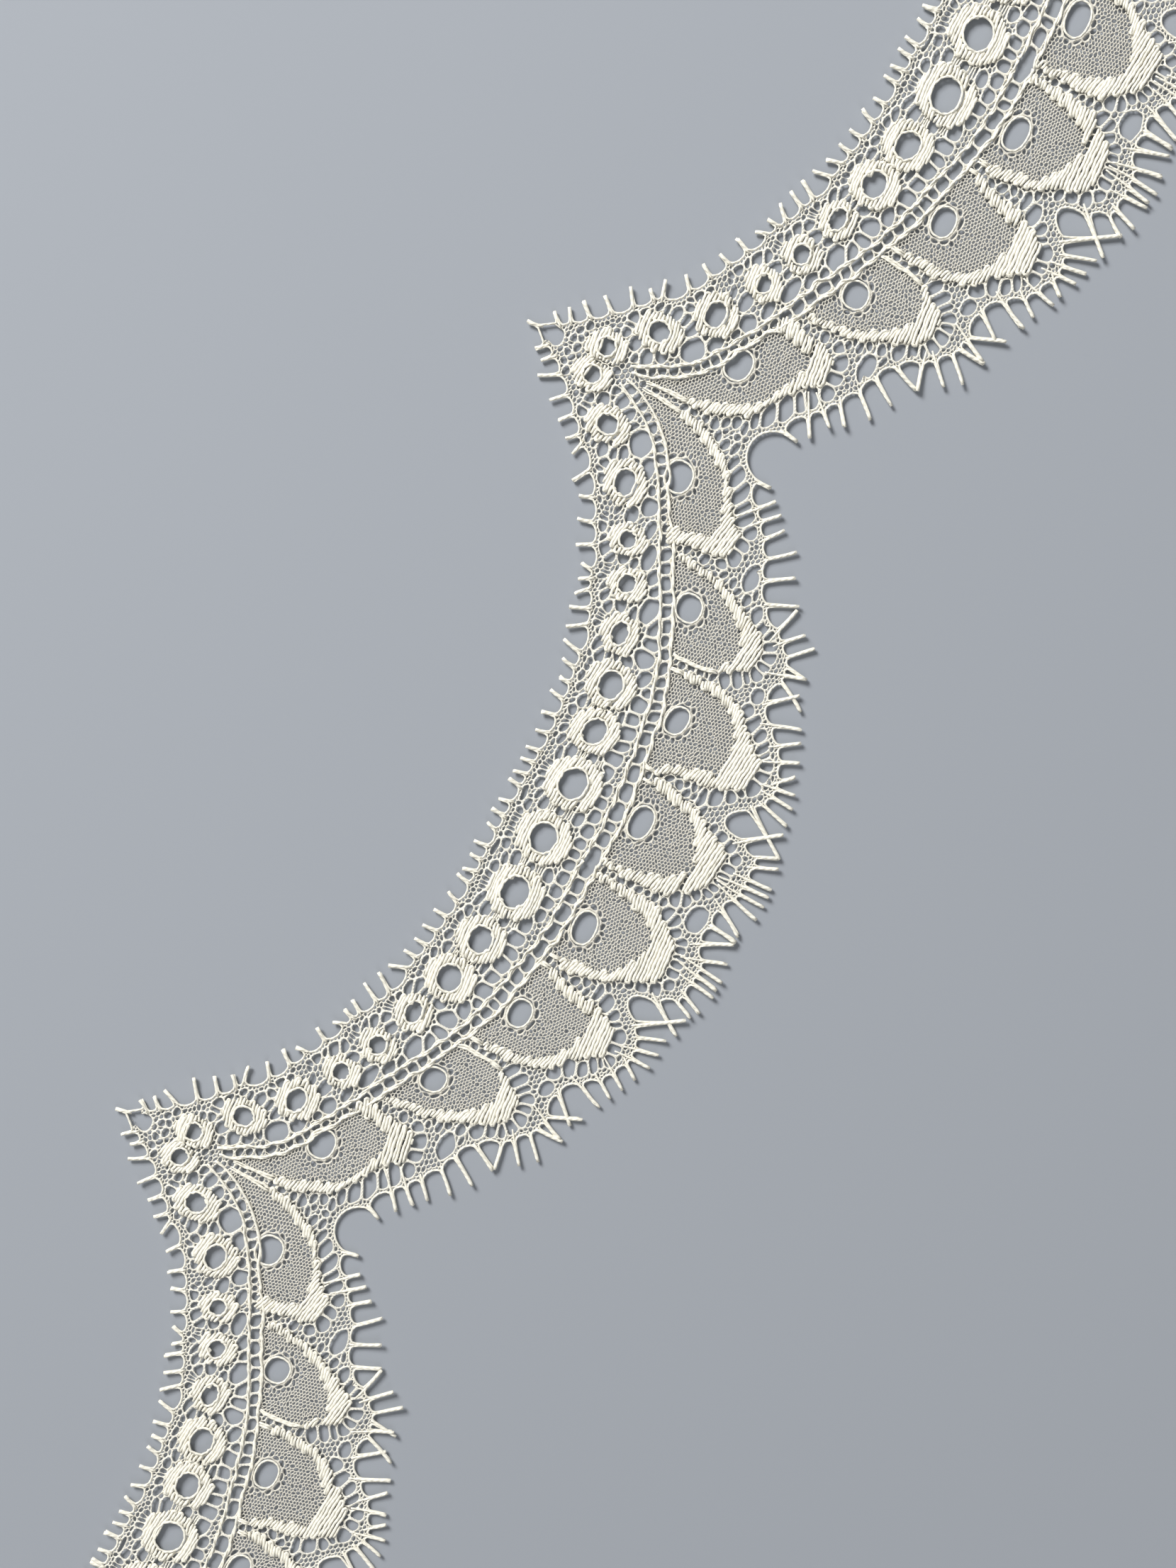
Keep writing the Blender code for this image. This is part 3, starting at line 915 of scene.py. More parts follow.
def opening_outline(outline: np.ndarray, halves: np.ndarray) -> np.ndarray | None:
    """The rounded opening inside a cell.

    Args:
        outline: (n, 2) corners of the cell, anticlockwise.
        halves: (n,) half the thread's width at each corner, in mm.

    Returns:
        (n, 2) points of the opening, or None if the cell can't hold one.
    """
    ahead = np.roll(outline, -1, axis=0) - outline
    size = np.linalg.norm(ahead, axis=1)
    area = shoelace(outline)
    if area < LEAST_CELL:
        return None
    round_it = size.sum()
    inner = np.column_stack([-ahead[:, 1], ahead[:, 0]]) / np.maximum(size, SMALL)[:, None]
    both = inner * size[:, None] + np.roll(inner * size[:, None], 1, axis=0)
    both /= np.maximum(np.linalg.norm(both, axis=1), SMALL)[:, None]
    room = 2 * area / round_it
    hole = outline + both * np.minimum(halves * 1.1, 0.5 * room)[:, None]
    target = max(shoelace(hole), 0.12 * area)
    for _ in range(1 if len(hole) < 9 else 4):
        hole = 0.5 * hole + 0.25 * (np.roll(hole, 1, axis=0) + np.roll(hole, -1, axis=0))
    middle = hole.mean(axis=0)
    now = shoelace(hole)
    if now <= 1e-5:
        return None
    return middle + (hole - middle) * min(1.35, math.sqrt(0.97 * target / now))


def shoelace(outline: np.ndarray) -> float:
    """Area inside an outline of (n, 2) corners, anticlockwise."""
    x, y = outline.T
    return float((x * np.roll(y, -1) - np.roll(x, -1) * y).sum() / 2)


@dataclass(frozen=True)
class Spread:
    """Threads pushed outwards by the hole of a ring, so that they bow round it.

    Args:
        x: The hole's middle, in mm.
        y: The hole's middle, in mm.
        length: The hole's length, in mm.
        height: The hole's height, in mm.
        start: Size of the hole before the push, as a share.
        end: How far out the push is felt, in holes.
    """

    x: float
    y: float
    length: float
    height: float
    start: float = 0.8
    end: float = 1.95

    def moved(self, points: np.ndarray) -> np.ndarray:
        """Points after the push.

        Args:
            points: (n, 2) places, in mm.

        Returns:
            (n, 2) places, in mm.
        """
        off = (points - (self.x, self.y)) / (self.length / 2, self.height / 2)
        far = np.maximum(np.linalg.norm(off, axis=1), SMALL)
        gone = np.interp(far, [0, self.start, self.end, 9], [0, 1, self.end, 9])
        return (self.x, self.y) + (points - (self.x, self.y)) * (gone / far)[:, None]


@dataclass(frozen=True)
class Slant:
    """Rows that lean down towards a petal's middle, steeply in its left rim and less in its right.

    Args:
        sections: The rim's lines from the top down.
        left: Slope in the left rim.
        right: Slope in the right rim.
        fade: Height over which the slope comes in, above the place where the rims meet, in mm.
    """

    sections: tuple
    left: float = 0.38
    right: float = 0.16
    fade: float = 2.5

    def moved(self, points: np.ndarray) -> np.ndarray:
        """Points after the lean.

        Args:
            points: (n, 2) places, in mm.

        Returns:
            (n, 2) places, in mm.
        """
        table = np.array(self.sections)[::-1]
        meet = max(row[0] for row in self.sections if row[3] - row[2] < 0.01 and row[4] - row[3] > 0.1)
        x, y = points.T
        off_left = x - np.interp(y, table[:, 0], (table[:, 1] + table[:, 2]) / 2)
        off_right = x - np.interp(y, table[:, 0], (table[:, 3] + table[:, 4]) / 2)
        drop = np.where(np.abs(off_left) < np.abs(off_right), -self.left * off_left, self.right * off_right)
        share = np.interp(y, [meet, meet + self.fade], [0, 1])
        return np.column_stack([x, y + share * np.clip(drop, -0.3, 0.3)])


Row = tuple[float, float, float]  # height, left end and right end


@dataclass(frozen=True)
class Patch:
    """One shape to be filled with rows.

    Args:
        skein: Takes the threads.
        repeat: Where the half scallop lies.
        tilt: Slope of the rows, in degrees.
        rng: Picks the small differences.
        spread: Bows the rows round a hole or makes them lean.
    """

    skein: Skein
    repeat: Repeat
    tilt: float
    rng: np.random.Generator
    spread: Spread | Slant

    @property
    def turn(self) -> np.ndarray:
        """The matrix that turns places of the half scallop until the rows lie level."""
        return rotation(-self.tilt)


@dataclass(frozen=True)
class Hatching:
    """Close rows of thread that go to and fro, as in a ring or the rim of a petal.

    Args:
        pitch: Distance between rows, in mm.
        width: Width of the thread, in mm.
        depth: Its height as a share of its width.
        waver: How far a row strays from straight, in mm.
        narrow: Where rows would be shorter than this, two threads run on lengthways instead, in mm.
        shortest: No row is shorter than this, in mm.
        shared: A row joins the stack above it if they overlap by more than this, in mm.
        step: Distance between the points of a row, in mm.
        inset: How far short of the outline a row turns back, as a share of half the pitch.
    """

    pitch: float = 0.4
    width: float = 0.40
    depth: float = 0.85
    waver: float = 0.04
    narrow: float = 0.88
    shortest: float = 0.4
    shared: float = 0.25
    step: float = 0.52
    inset: float = 0.8

    def fill(self, patch: Patch, outlines: list[np.ndarray]) -> None:
        """Fills a shape with rows.

        Args:
            patch: Where and how.
            outlines: The shape's outline and the outlines of its holes, in the half scallop.
        """
        turn, rng = patch.turn, patch.rng
        edges = [(o @ turn, np.roll(o @ turn, -1, axis=0)) for o in outlines]
        top = max(s[:, 1].max() for s, _ in edges)
        low = min(s[:, 1].min() for s, _ in edges)
        chains: list[list[Row]] = []
        live: list[list[Row]] = []
        y = top - self.pitch * rng.uniform(0.35, 0.6)
        while y > low + 0.1:
            cuts = []
            for s, e in edges:
                spans = (s[:, 1] > y) != (e[:, 1] > y)
                t = (y - s[spans, 1]) / (e[spans, 1] - s[spans, 1])
                cuts += (s[spans, 0] + t * (e[spans, 0] - s[spans, 0])).tolist()
            cuts.sort()
            fresh = []
            for x0, x1 in zip(cuts[::2], cuts[1::2]):
                if x1 - x0 < self.shortest:
                    continue
                best, chosen = self.shared, None
                for chain in live:
                    shared = min(x1, chain[-1][2]) - max(x0, chain[-1][1])
                    if shared > best:
                        best, chosen = shared, chain
                if chosen is None:
                    chosen = []
                    chains.append(chosen)
                else:
                    live.remove(chosen)
                chosen.append((y + rng.normal(0, 0.025), x0, x1))
                fresh.append(chosen)
            live = fresh
            y -= self.pitch
        for chain in chains:
            for slim, group in groupby(chain, key=lambda row: row[2] - row[1] < self.narrow):
                rows = list(group)
                if slim and len(rows) > 2:
                    self._lengthways(patch, rows)
                    continue
                k = 0
                while k < len(rows):
                    take = int(rng.choice(STACKS, p=STACK_ODDS))
                    self._run(patch, rows[k : k + take])
                    k += take

    def _lengthways(self, patch: Patch, rows: list[Row]) -> None:
        """Lays two threads side by side down a slim stretch of rim.

        Args:
            patch: Where and how.
            rows: The rows that they stand for.
        """
        rng = patch.rng
        y, x0, x1 = np.array(rows).T
        y[[0, -1]] += (self.pitch * 0.7, -self.pitch * 0.7)
        room = np.clip((x1 - x0) / 0.75, 0.6, 1.0)
        for side in (-0.14, 0.14):
            stray = wander(rng, 0.08, len(y))
            flat = np.column_stack([(x0 + x1) / 2 + side * room + stray, y]) @ patch.turn.T
            lift = CORD_LIFT + rng.normal(0, 0.03, len(y))
            width = self.width * room * rng.uniform(0.75, 1.0, len(y))
            width[[0, -1]] *= 0.6
            patch.skein.lay(patch.repeat.place(flat), lift, width, self.depth)

    def _run(self, patch: Patch, chain: list[Row]) -> None:
        """Lays one thread to and fro along a stack of rows.

        Args:
            patch: Where and how.
            chain: Rows from the top down.
        """
        rng = patch.rng
        forth = rng.random() < 0.5
        knee = self.pitch / 2
        phase, swing = rng.uniform(0, 6.28, 2)
        line: list[tuple[float, float]] = []
        for k, (y, x0, x1) in enumerate(chain):
            ends = [x0 + knee * self.inset, x1 - knee * self.inset]
            if ends[1] - ends[0] < 0.12:
                middle = (x0 + x1) / 2
                ends = [middle - 0.06, middle + 0.06]
            begin, end = ends if forth else ends[::-1]
            way = 1 if forth else -1
            if k == 0:
                begin += way * rng.normal(0.05, 0.08)
            if k + 1 < len(chain):  # the next row starts where this one ends
                _, left, right = chain[k + 1]
                after = right - knee * self.inset if forth else left + knee * self.inset
                end = (end + after) / 2 if abs(end - after) < 1.2 else end
            if line:
                begin = line[-1][0]
            end += way * rng.normal(0, 0.07)
            n = max(2, round(abs(end - begin) / self.step) + 1)
            xs = np.linspace(begin, end, n)
            wave = self.waver * np.sin(xs * (2.2 + 0.3 * swing) + phase)
            ys = y + wave + rng.normal(0, self.waver * 0.5, n)
            line += list(zip(xs, ys))
            if k + 1 < len(chain):
                below = chain[k + 1][0]
                line += [(end + way * knee * 0.6, y + (below - y) * share) for share in (0.28, 0.72)]
            forth = not forth
            phase += rng.uniform(0.3, 1.2)
        if len(line) < 2:
            return
        flat = patch.spread.moved(np.array(line) @ patch.turn.T)
        n = len(flat)
        lift = HATCH_LIFT + rng.normal(0, 0.03) + wander(rng, 0.035, n)
        width = self.width * rng.normal(1, 0.06) * (1 + wander(rng, 0.07, n))
        width[[0, -1]] *= 0.72
        patch.skein.lay(patch.repeat.place(flat), lift, width, self.depth)


@dataclass(frozen=True)
class Petal:
    """One petal: a hatched rim round a fine net with an oval opening.

    Args:
        sections: The rim's lines from the top down.
        hole: The oval's x, y, length and height.
    """

    sections: tuple
    hole: tuple

    @property
    def outer(self) -> np.ndarray:
        """The rim's outer line."""
        s = np.array(self.sections)
        return np.vstack([s[:, [1, 0]], s[::-1][:, [4, 0]]])

    @property
    def inner(self) -> np.ndarray:
        """The rim's inner line."""
        s = np.array([row for row in self.sections if row[3] - row[2] > 0.01])
        foot = [((s[-1, 2] + s[-1, 3]) / 2, s[-1, 0] - 0.35)]
        return np.vstack([s[:, [2, 0]], foot, s[::-1][:, [3, 0]]])

    def rim(self, skein: Skein, hatching: Hatching, repeat: Repeat, rng: np.random.Generator) -> None:
        """Hatches the rim."""
        tilt = slope_of_rows(self.hole[0])
        hatching.fill(Patch(skein, repeat, tilt, rng, Slant(self.sections)), [self.outer, self.inner])


def slope_of_rows(x: float) -> float:
    """Slope of the hatching's rows at x of the half scallop, in degrees."""
    return 9.0 - 6.5 * x / HALF


def rooms(table: tuple) -> list[tuple[float, ...]]:
    """Openings as x, y, length, height and turn. Where the table gives no turn, it is 0."""
    return [(*row, 0.0)[:5] for row in table]


def eased(table: tuple) -> tuple:
    """Snug openings, widened.

    Args:
        table: x, y, length, height and, for some, a turn in degrees.

    Returns:
        The same rows, with their lengths and heights widened.
    """
    wider = []
    for x, y, length, height, *turn in table:
        ease = WIDE_EASE if min(length, height) >= WIDE_FROM else NARROW_EASE
        wider.append((x, y, length + ease, height + ease, *turn))
    return tuple(wider)


def head_openings() -> tuple:
    """Every opening charted for the head."""
    return eased(SNUG_HEAD_OPENINGS) + HEAD_OPENINGS


def foot_openings() -> tuple:
    """Every opening charted for the foot."""
    return eased(SNUG_FOOT_OPENINGS) + FOOT_OPENINGS


def gauge_of(length: float, height: float) -> float:
    """Half the width of the thread round an opening of this size, in mm."""
    return float(np.interp(min(length, height), [0.3, 0.5, 0.9, 1.3], [0.09, 0.12, 0.16, 0.18]))


def staggered(
    x0: float, x1: float, y0: float, y1: float, across: float, down: float, lean: float, shift: float = 0.5
) -> np.ndarray:
    """Points of a staggered grid.

    Args:
        x0: Left end, in mm.
        x1: Right end, in mm.
        y0: Lower end, in mm.
        y1: Upper end, in mm.
        across: Distance between the points of a row, in mm.
        down: Distance between rows, in mm.
        lean: Slope of the rows, in degrees.
        shift: How far each row starts past the last one, as a share of that distance.

    Returns:
        (n, 2) points.
    """
    reach = 1.5 * max(x1 - x0, y1 - y0)
    i, k = np.meshgrid(np.arange(-reach, reach, across), np.arange(round(2 * reach / down)))
    flat = np.column_stack([(i + (k * shift % 1) * across).ravel(), (k * down - reach).ravel()])
    turned = flat @ rotation(lean) + ((x0 + x1) / 2, (y0 + y1) / 2)
    keep = (turned[:, 0] > x0) & (turned[:, 0] < x1) & (turned[:, 1] > y0) & (turned[:, 1] < y1)
    return turned[keep]


@dataclass(frozen=True)
class End:
    """A clipped thread end of a fringe.

    Args:
        root: Where it leaves the edge, on the strip in mm.
        tip: Where it was clipped, on the strip in mm.
        rise: Rise of the arch from its root to the next, in mm.
        run: How far its thread runs back into the net, in mm.
    """

    root: np.ndarray
    tip: np.ndarray
    rise: float
    run: float


class Lace:
    """The whole edging."""

    def __init__(self) -> None:
        """An edging with nothing made yet."""
        self.drift = Drift()
        self.rng = np.random.default_rng(20)
        self.upper = curve_through(UPPER_CORD, 0.4)
        self.lower = curve_through(LOWER_CORD, 0.4)
        self.petals = [Petal(s, h) for s, h in zip(PETALS, OVALS)]
        self.net = Net(self.drift)
        self.rungs = self._rungs()

    def _rungs(self) -> tuple[tuple[float, ...], ...]:
        """The openings between the two cords of the ladder.

        Returns:
            x, y, length, height and turn of each.
        """
        found = []
        bar = RUNG_START
        while bar < HALF:
            ahead, here = (height_of(self.lower, at) for at in (bar + 0.5, bar))
            lean = math.cos(math.atan2(ahead - here, 0.5))
            pitch = (RUNG_PITCH + RUNG_GROWTH * bar) * lean * self.rng.choice(LADDER_STEPS)
            x = bar + pitch / 2
            if HALF - x < pitch * 0.8:
                x, pitch = HALF, 2 * (HALF - bar)
            top, low = height_of(self.upper, x), height_of(self.lower, x)
            ahead = height_of(self.lower, x + 0.5)
            slope = math.atan2(ahead - low, 0.5)
            height = max((top - low) * math.cos(slope) - RUNG_INSET[1], 0.35)
            length = max(pitch / math.cos(slope) - RUNG_INSET[0], 0.3)
            found.append((x, (top + low) / 2, length, height, math.degrees(slope)))
            bar = x + pitch / 2
        return tuple(found)

    def ends(self, table: tuple, outward: int) -> list[End]:
        """A fringe's thread ends over the whole strip, from left to right.

        Args:
            table: Roots and tips in the half scallop.
            outward: 1 for the head, -1 for the foot.

        Returns:
            The ends.
        """
        found = []
        for repeat in REPEATS:
            for x, y, dx, dy, *run in table:
                root = repeat.place(np.array([[x, y]]))[0] + self.rng.normal(0, 0.07, 2)
                tip = repeat.place(np.array([[x + dx, y + dy]]))[0] + self.rng.normal(0, [0.22, 0.14])
                found.append((root, tip, x, run[0] if run else HEAD_RUN))
        if outward > 0:
            for cusp in (0.0, SCALLOP):
                found.append((np.array([cusp, -0.15]), np.array([cusp - 0.25, 1.0]), 0.0, HEAD_RUN))
        found = [f for f in found if CUT_LEFT + 0.4 < f[0][0] < CUT_RIGHT - 0.4]
        found.sort(key=lambda f: f[0][0])
        made = []
        for k, (root, tip, x, run) in enumerate(found):
            rise = 0.0
            if k + 1 < len(found):
                wide, other = float(np.linalg.norm(found[k + 1][0] - root)), found[k + 1][2]
                rise = ARCH_RISE * wide + 0.12
                if outward > 0 and 0.0 in (x, other):
                    rise = 0.06
                elif outward < 0 and x == other == FOOT_ENDS[0][0]:
                    rise = VALLEY_RISE
                elif outward < 0 and min(x, other) in TALL_ARCHES and wide > 2.5:
                    rise = TALL_ARCHES[min(x, other)]
            made.append(End(root, tip, rise, run))
        return made

    def arches(self, ends: list[End], outward: int) -> list[np.ndarray]:
        """The edge thread between neighbouring thread ends.

        Args:
            ends: The ends, from left to right.
            outward: 1 for the head, -1 for the foot.

        Returns:
            (n, 2) points of each arch, from root to root.
        """
        made = []
        for end, after in zip(ends, ends[1:]):
            a, b, rise = end.root, after.root, end.rise
            wide = float(np.linalg.norm(b - a))
            along = (b - a) / wide
            inward = -outward * np.array([-along[1], along[0]]) * rise * 4 / 3
            ca, cb = a + inward + along * 0.12 * wide, b + inward - along * 0.12 * wide
            t = np.linspace(0, 1, max(6, round((wide + rise) / 0.3)))[:, None]
            made.append((1 - t) ** 3 * a + 3 * (1 - t) ** 2 * t * ca + 3 * (1 - t) * t**2 * cb + t**3 * b)
        return made

    def plan_net(self, head: list[np.ndarray], foot: list[np.ndarray]) -> None:
        """Places every cell of the nets.

        Args:
            head: The head edge's arches, from left to right.
            foot: The foot edge's arches.
        """
        net, rng = self.net, self.rng
        top, low = np.vstack(head), np.vstack(foot)[::-1]
        right = [(CUT_RIGHT, top[-1, 1]), (CUT_RIGHT, low[0, 1])]
        left = [(CUT_LEFT, low[-1, 1]), (CUT_LEFT, top[0, 1])]
        region = np.vstack([top, right, low, left])
        fine, stars, under_rims = self._petal_cells()
        fill, under_rings = self._ground_cells()
        upper = height_of(self.upper, fill[:, 0])
        drops: dict[float, int] = {}
        tables = (head_openings(), Group.HEAD), (self.rungs, Group.FOOT), (foot_openings(), Group.FOOT)
        for repeat in REPEATS:
            petals = Group.RIGHT_PETALS if repeat.side > 0 else Group.LEFT_PETALS
            for table, group in tables:
                for x, y, length, height, turn in rooms(table):
                    if repeat.owns(x):
                        gauge = gauge_of(length, height)
                        a = max(length + 2 * gauge - OPENING_INSET, LEAST_RING)
                        b = max(height + 2 * gauge - OPENING_INSET, LEAST_RING)
                        points = oval(x, y, a, b, turn, max(4, round((a + b) * POINTS_PER_MM)))
                        net.opening(repeat.place(points) + rng.normal(0, 0.05, 2), gauge, group)
            for x, start, end, length in SLITS:
                for y in np.linspace(start, end, round((start - end) / SLIT_PITCH) + 1):
                    if repeat.owns(x):
                        slit = oval(x + rng.normal(0, 0.06), y, length - 0.25, 0.04, rng.normal(0, 5), 6)
                        net.opening(repeat.place(slit), GAUGES.slit, Group.HEAD)
            for ring in RINGS:
                if repeat.owns(ring[0]):
                    hole = oval(ring[0], ring[1], ring[2] - 0.1, ring[3] - 0.1, 0, 22)
                    net.opening(repeat.place(hole), GAUGES.ring, Group.HEAD)
            for x, y, length, height in OVALS:
                hole = oval(x, y, length - 0.2, height - 0.2, 0, 26)
                net.opening(repeat.place(hole), GAUGES.oval, petals)
            if repeat.side > 0:
                drops[repeat.cusp] = net.next_label
                net.opening(repeat.place(np.array(CUSP_DROP)), GAUGES.drop, Group.HEAD, 0.0)
            net.cells(repeat.place(stars + rng.normal(0, 0.08, stars.shape)), GAUGES.star, petals, 0.1, 1)
            net.cells(repeat.place(fine + rng.normal(0, 0.075, fine.shape)), GAUGES.petal, petals, 0.1, 2)
            net.cells(repeat.place(under_rims), GAUGES.hidden, petals, 0.1, 2)
            for group, which in ((Group.HEAD, fill[:, 1] > upper), (Group.FOOT, fill[:, 1] <= upper)):
                points = fill[which] + rng.normal(0, 1, (which.sum(), 2)) * GROUND_JITTER
                net.cells(repeat.place(points), GAUGES.ground, group, 0.28, 3)
            net.cells(repeat.place(under_rings), GAUGES.hidden, Group.HEAD, 0.2, 3)
        net.trim(region)
        self._edge_cells(region, drops)

    def _edge_cells(self, region: np.ndarray, drops: dict[float, int]) -> None:
        """Pairs of places either side of the edge, so that the net ends on it.

        Args:
            region: The outline of the strip.
            drops: For each cusp's x, the number of the cell in its tip, which reaches the edge.
        """
        closed = evened(closed_line(region), 0.4)
        ahead = directions(closed)
        side = np.column_stack([-ahead[:, 1], ahead[:, 0]]) * EDGE_OFFSET
        within, beyond = closed - side, closed + side
        keep = inside(within, region) & ~inside(beyond, region) & (gap_to(within, closed) > 0.13)
        within = within[keep]
        border = height_of(np.array(LOWER_CORD), np.abs((within[:, 0] + HALF) % SCALLOP - HALF))
        at_tip = np.zeros(len(within), bool)
        for cusp, number in drops.items():
            mine = (np.abs(within[:, 0] - cusp) < TIP_REACH[0]) & (within[:, 1] > -TIP_REACH[1])
            self.net.extend(number, within[mine], GAUGES.drop, Group.HEAD)
            at_tip |= mine
        for group, which in ((Group.HEAD, within[:, 1] > border), (Group.FOOT, within[:, 1] <= border)):
            self.net.cells(within[which & ~at_tip], GAUGES.edge, group, 0.0, 0)
        self.net.fence(beyond[~inside(beyond, region)])
        x = np.arange(CUT_LEFT - 6, CUT_RIGHT + 6, 2.0)
        rows = [np.column_stack([x, np.full(len(x), level)]) for level in (6.0, -62.0)]
        self.net.fence(np.vstack(rows))
        y = np.arange(-60, 5, 2.0)
        rows = [np.column_stack([np.full(len(y), end), y]) for end in (CUT_LEFT - 5, CUT_RIGHT + 5)]
        self.net.fence(np.vstack(rows))

    def _petal_cells(self) -> tuple[np.ndarray, np.ndarray, np.ndarray]:
        """Cells of the petals' nets in the half scallop.

        Returns:
            Middles of the fine cells, of the larger ones round the ovals, and of those under the rims.
        """
        grid = staggered(0.0, HALF, -50.0, -13.0, *PETAL_GRID)
        coarse = staggered(0.0, HALF, -50.0, -13.0, *HIDDEN_GRID)
        stars = np.vstack([
            oval(x, y, length + STAR_GROWTH[0], height + STAR_GROWTH[1], 0, round((length + height) * 1.65))
            for x, y, length, height in OVALS
        ])
        fine, rim = [], []
        keep_stars = np.zeros(len(stars), bool)
        for petal in self.petals:
            outer, inner = petal.outer, petal.inner
            ring, shell = (evened(closed_line(edge), EDGE_STEP) for edge in (inner, outer))
            within = grid[inside(grid, outer)]
            fine.append(within[inside(within, inner) | (gap_to(within, ring) < 0.25)])
            hidden = coarse[inside(coarse, outer) & ~inside(coarse, inner)]
            rim.append(hidden[(gap_to(hidden, ring) > 0.45) & (gap_to(hidden, shell) > 0.12)])
            keep_stars |= inside(stars, outer)
        fine = np.vstack(fine)
        for x, y, length, height in OVALS:
            across = (fine[:, 0] - x) / (length / 2 + STAR_ROOM[0])
            up = (fine[:, 1] - y) / (height / 2 + STAR_ROOM[1])
            fine = fine[across**2 + up**2 > 1]
        return fine, stars[keep_stars], np.vstack(rim)

    def _ground_cells(self) -> tuple[np.ndarray, np.ndarray]:
        """Small cells of the ground in the half scallop, between its openings.

        Returns:
            Middles of the small cells, and of those under the rings.
        """
        grid = staggered(0.0, HALF, -56.0, 1.0, *GROUND_GRID)
        free = np.ones(len(grid), bool)
        for x, y, length, height, turn in rooms(head_openings() + foot_openings()):
            gauge = gauge_of(length, height)
            a = math.radians(turn)
            dx, dy = grid[:, 0] - x, grid[:, 1] - y
            u, v = dx * math.cos(a) + dy * math.sin(a), -dx * math.sin(a) + dy * math.cos(a)
            u /= length / 2 + gauge + OPENING_ROOM
            v /= height / 2 + gauge + OPENING_ROOM
            free &= u**2 + v**2 > 1
        drop_tip = np.array([(-0.8, -3.2), (0.9, -3.2), (0.0, -0.5)])
        free &= ~inside(grid, drop_tip) & ~inside(grid, oval(0, -2.8, 2.1, 1.9, 0, 24))
        for petal in self.petals:
            free &= ~inside(grid, petal.outer)
        upper = height_of(self.upper, grid[:, 0]) - 0.1
        lower = height_of(self.lower, grid[:, 0]) + 0.1
        free &= (grid[:, 1] > upper) | (grid[:, 1] < lower) | (grid[:, 0] < 0.9)
        coarse = staggered(0.0, HALF, -33.0, -5.0, *HIDDEN_GRID)
        hidden = np.zeros(len(coarse), bool)
        for ring in RINGS:
            x, y, length, height = ring
            free &= ~inside(grid, ring_outline(ring, -0.3, 40))
            hole = oval(x, y, length + 0.8, height + 0.8, 0, 40)
            hidden |= inside(coarse, ring_outline(ring, -0.25, 40)) & ~inside(coarse, hole)
        return grid[free], coarse[hidden]

    def weave(self) -> dict[Group, bpy.types.Object]:
        """Makes each net's mesh."""
        return {group: quad_mesh(group.value, *arrays) for group, arrays in self.net.weave().items()}

    def hatch_rings(self, skein: Skein) -> None:
        """Lays the rings of close rows.

        Args:
            skein: Takes the threads.
        """
        hatching = Hatching()
        for repeat in REPEATS:
            for ring in RINGS:
                if repeat.owns(ring[0]):
                    outer = ring_outline(ring, 0.05, 48)
                    if ring[0] < 3:
                        outer[:, 0] = np.maximum(outer[:, 0], 0.06)
                    x, y, length, height = ring
                    spread = Spread(x, y, length + 0.3, height + 0.4)
                    start = spread.start
                    hole = oval(x, y, spread.length * start, spread.height * start, 0, 40, 2.0)
                    tilt = slope_of_rows(x) if x < 50 else 1.0
                    hatching.fill(Patch(skein, repeat, tilt, self.rng, spread), [outer, hole])
                    rim = oval(x, y, length + 0.25, height + 0.25, 0, RIM_POINTS, 2.1)
                    rim += self.rng.normal(0, 0.045, (RIM_POINTS, 2))
                    lift = HATCH_LIFT + 0.08 + self.rng.normal(0, 0.03, RIM_POINTS)
                    width = self.rng.uniform(0.25, 0.36, RIM_POINTS)
                    skein.lay(repeat.place(rim), lift, width, 0.9, closed=True)

    def hatch_petals(self, skein: Skein) -> None:
        """Lays the petals' rims of close rows.

        Args:
            skein: Takes the threads.
        """
        hatching = Hatching()
        for repeat in REPEATS:
            for petal in self.petals:
                petal.rim(skein, hatching, repeat, self.rng)

    def cords(self, skein: Skein) -> None:
        """Lays the two thick cords of the ladder and the thread round each oval.

        Args:
            skein: Takes the threads.
        """
        rng = self.rng
        for repeat in REPEATS:
            for line, width in ((self.upper, 0.26), (self.lower, 0.29)):
                n = len(line)
                stray = wander(rng, 0.13, n)
                stray += 0.08 * np.sin(np.cumsum(rng.uniform(0.3, 1.3, n)))
                path = repeat.place(line) + np.column_stack([stray * 0.4, stray])
                turn = np.cumsum(rng.uniform(0.35, 0.75, n)) + rng.uniform(0, 6)
                for ply in (0, math.pi):  # two threads twisted together
                    off = 0.115 * np.cos(turn + ply)
                    lift = CORD_LIFT + 0.09 * np.sin(turn + ply)
                    thick = width * (1 + wander(rng, 0.12, n))
                    skein.lay(path + np.column_stack([off * 0.4, off]), lift, thick, 0.85)
            for x, y, length, height in OVALS:
                ring = repeat.place(oval(x, y, length + 0.2, height + 0.2, 0, 28))
                skein.lay(ring, NET_LIFT + 0.06, 0.27, 0.9, closed=True)

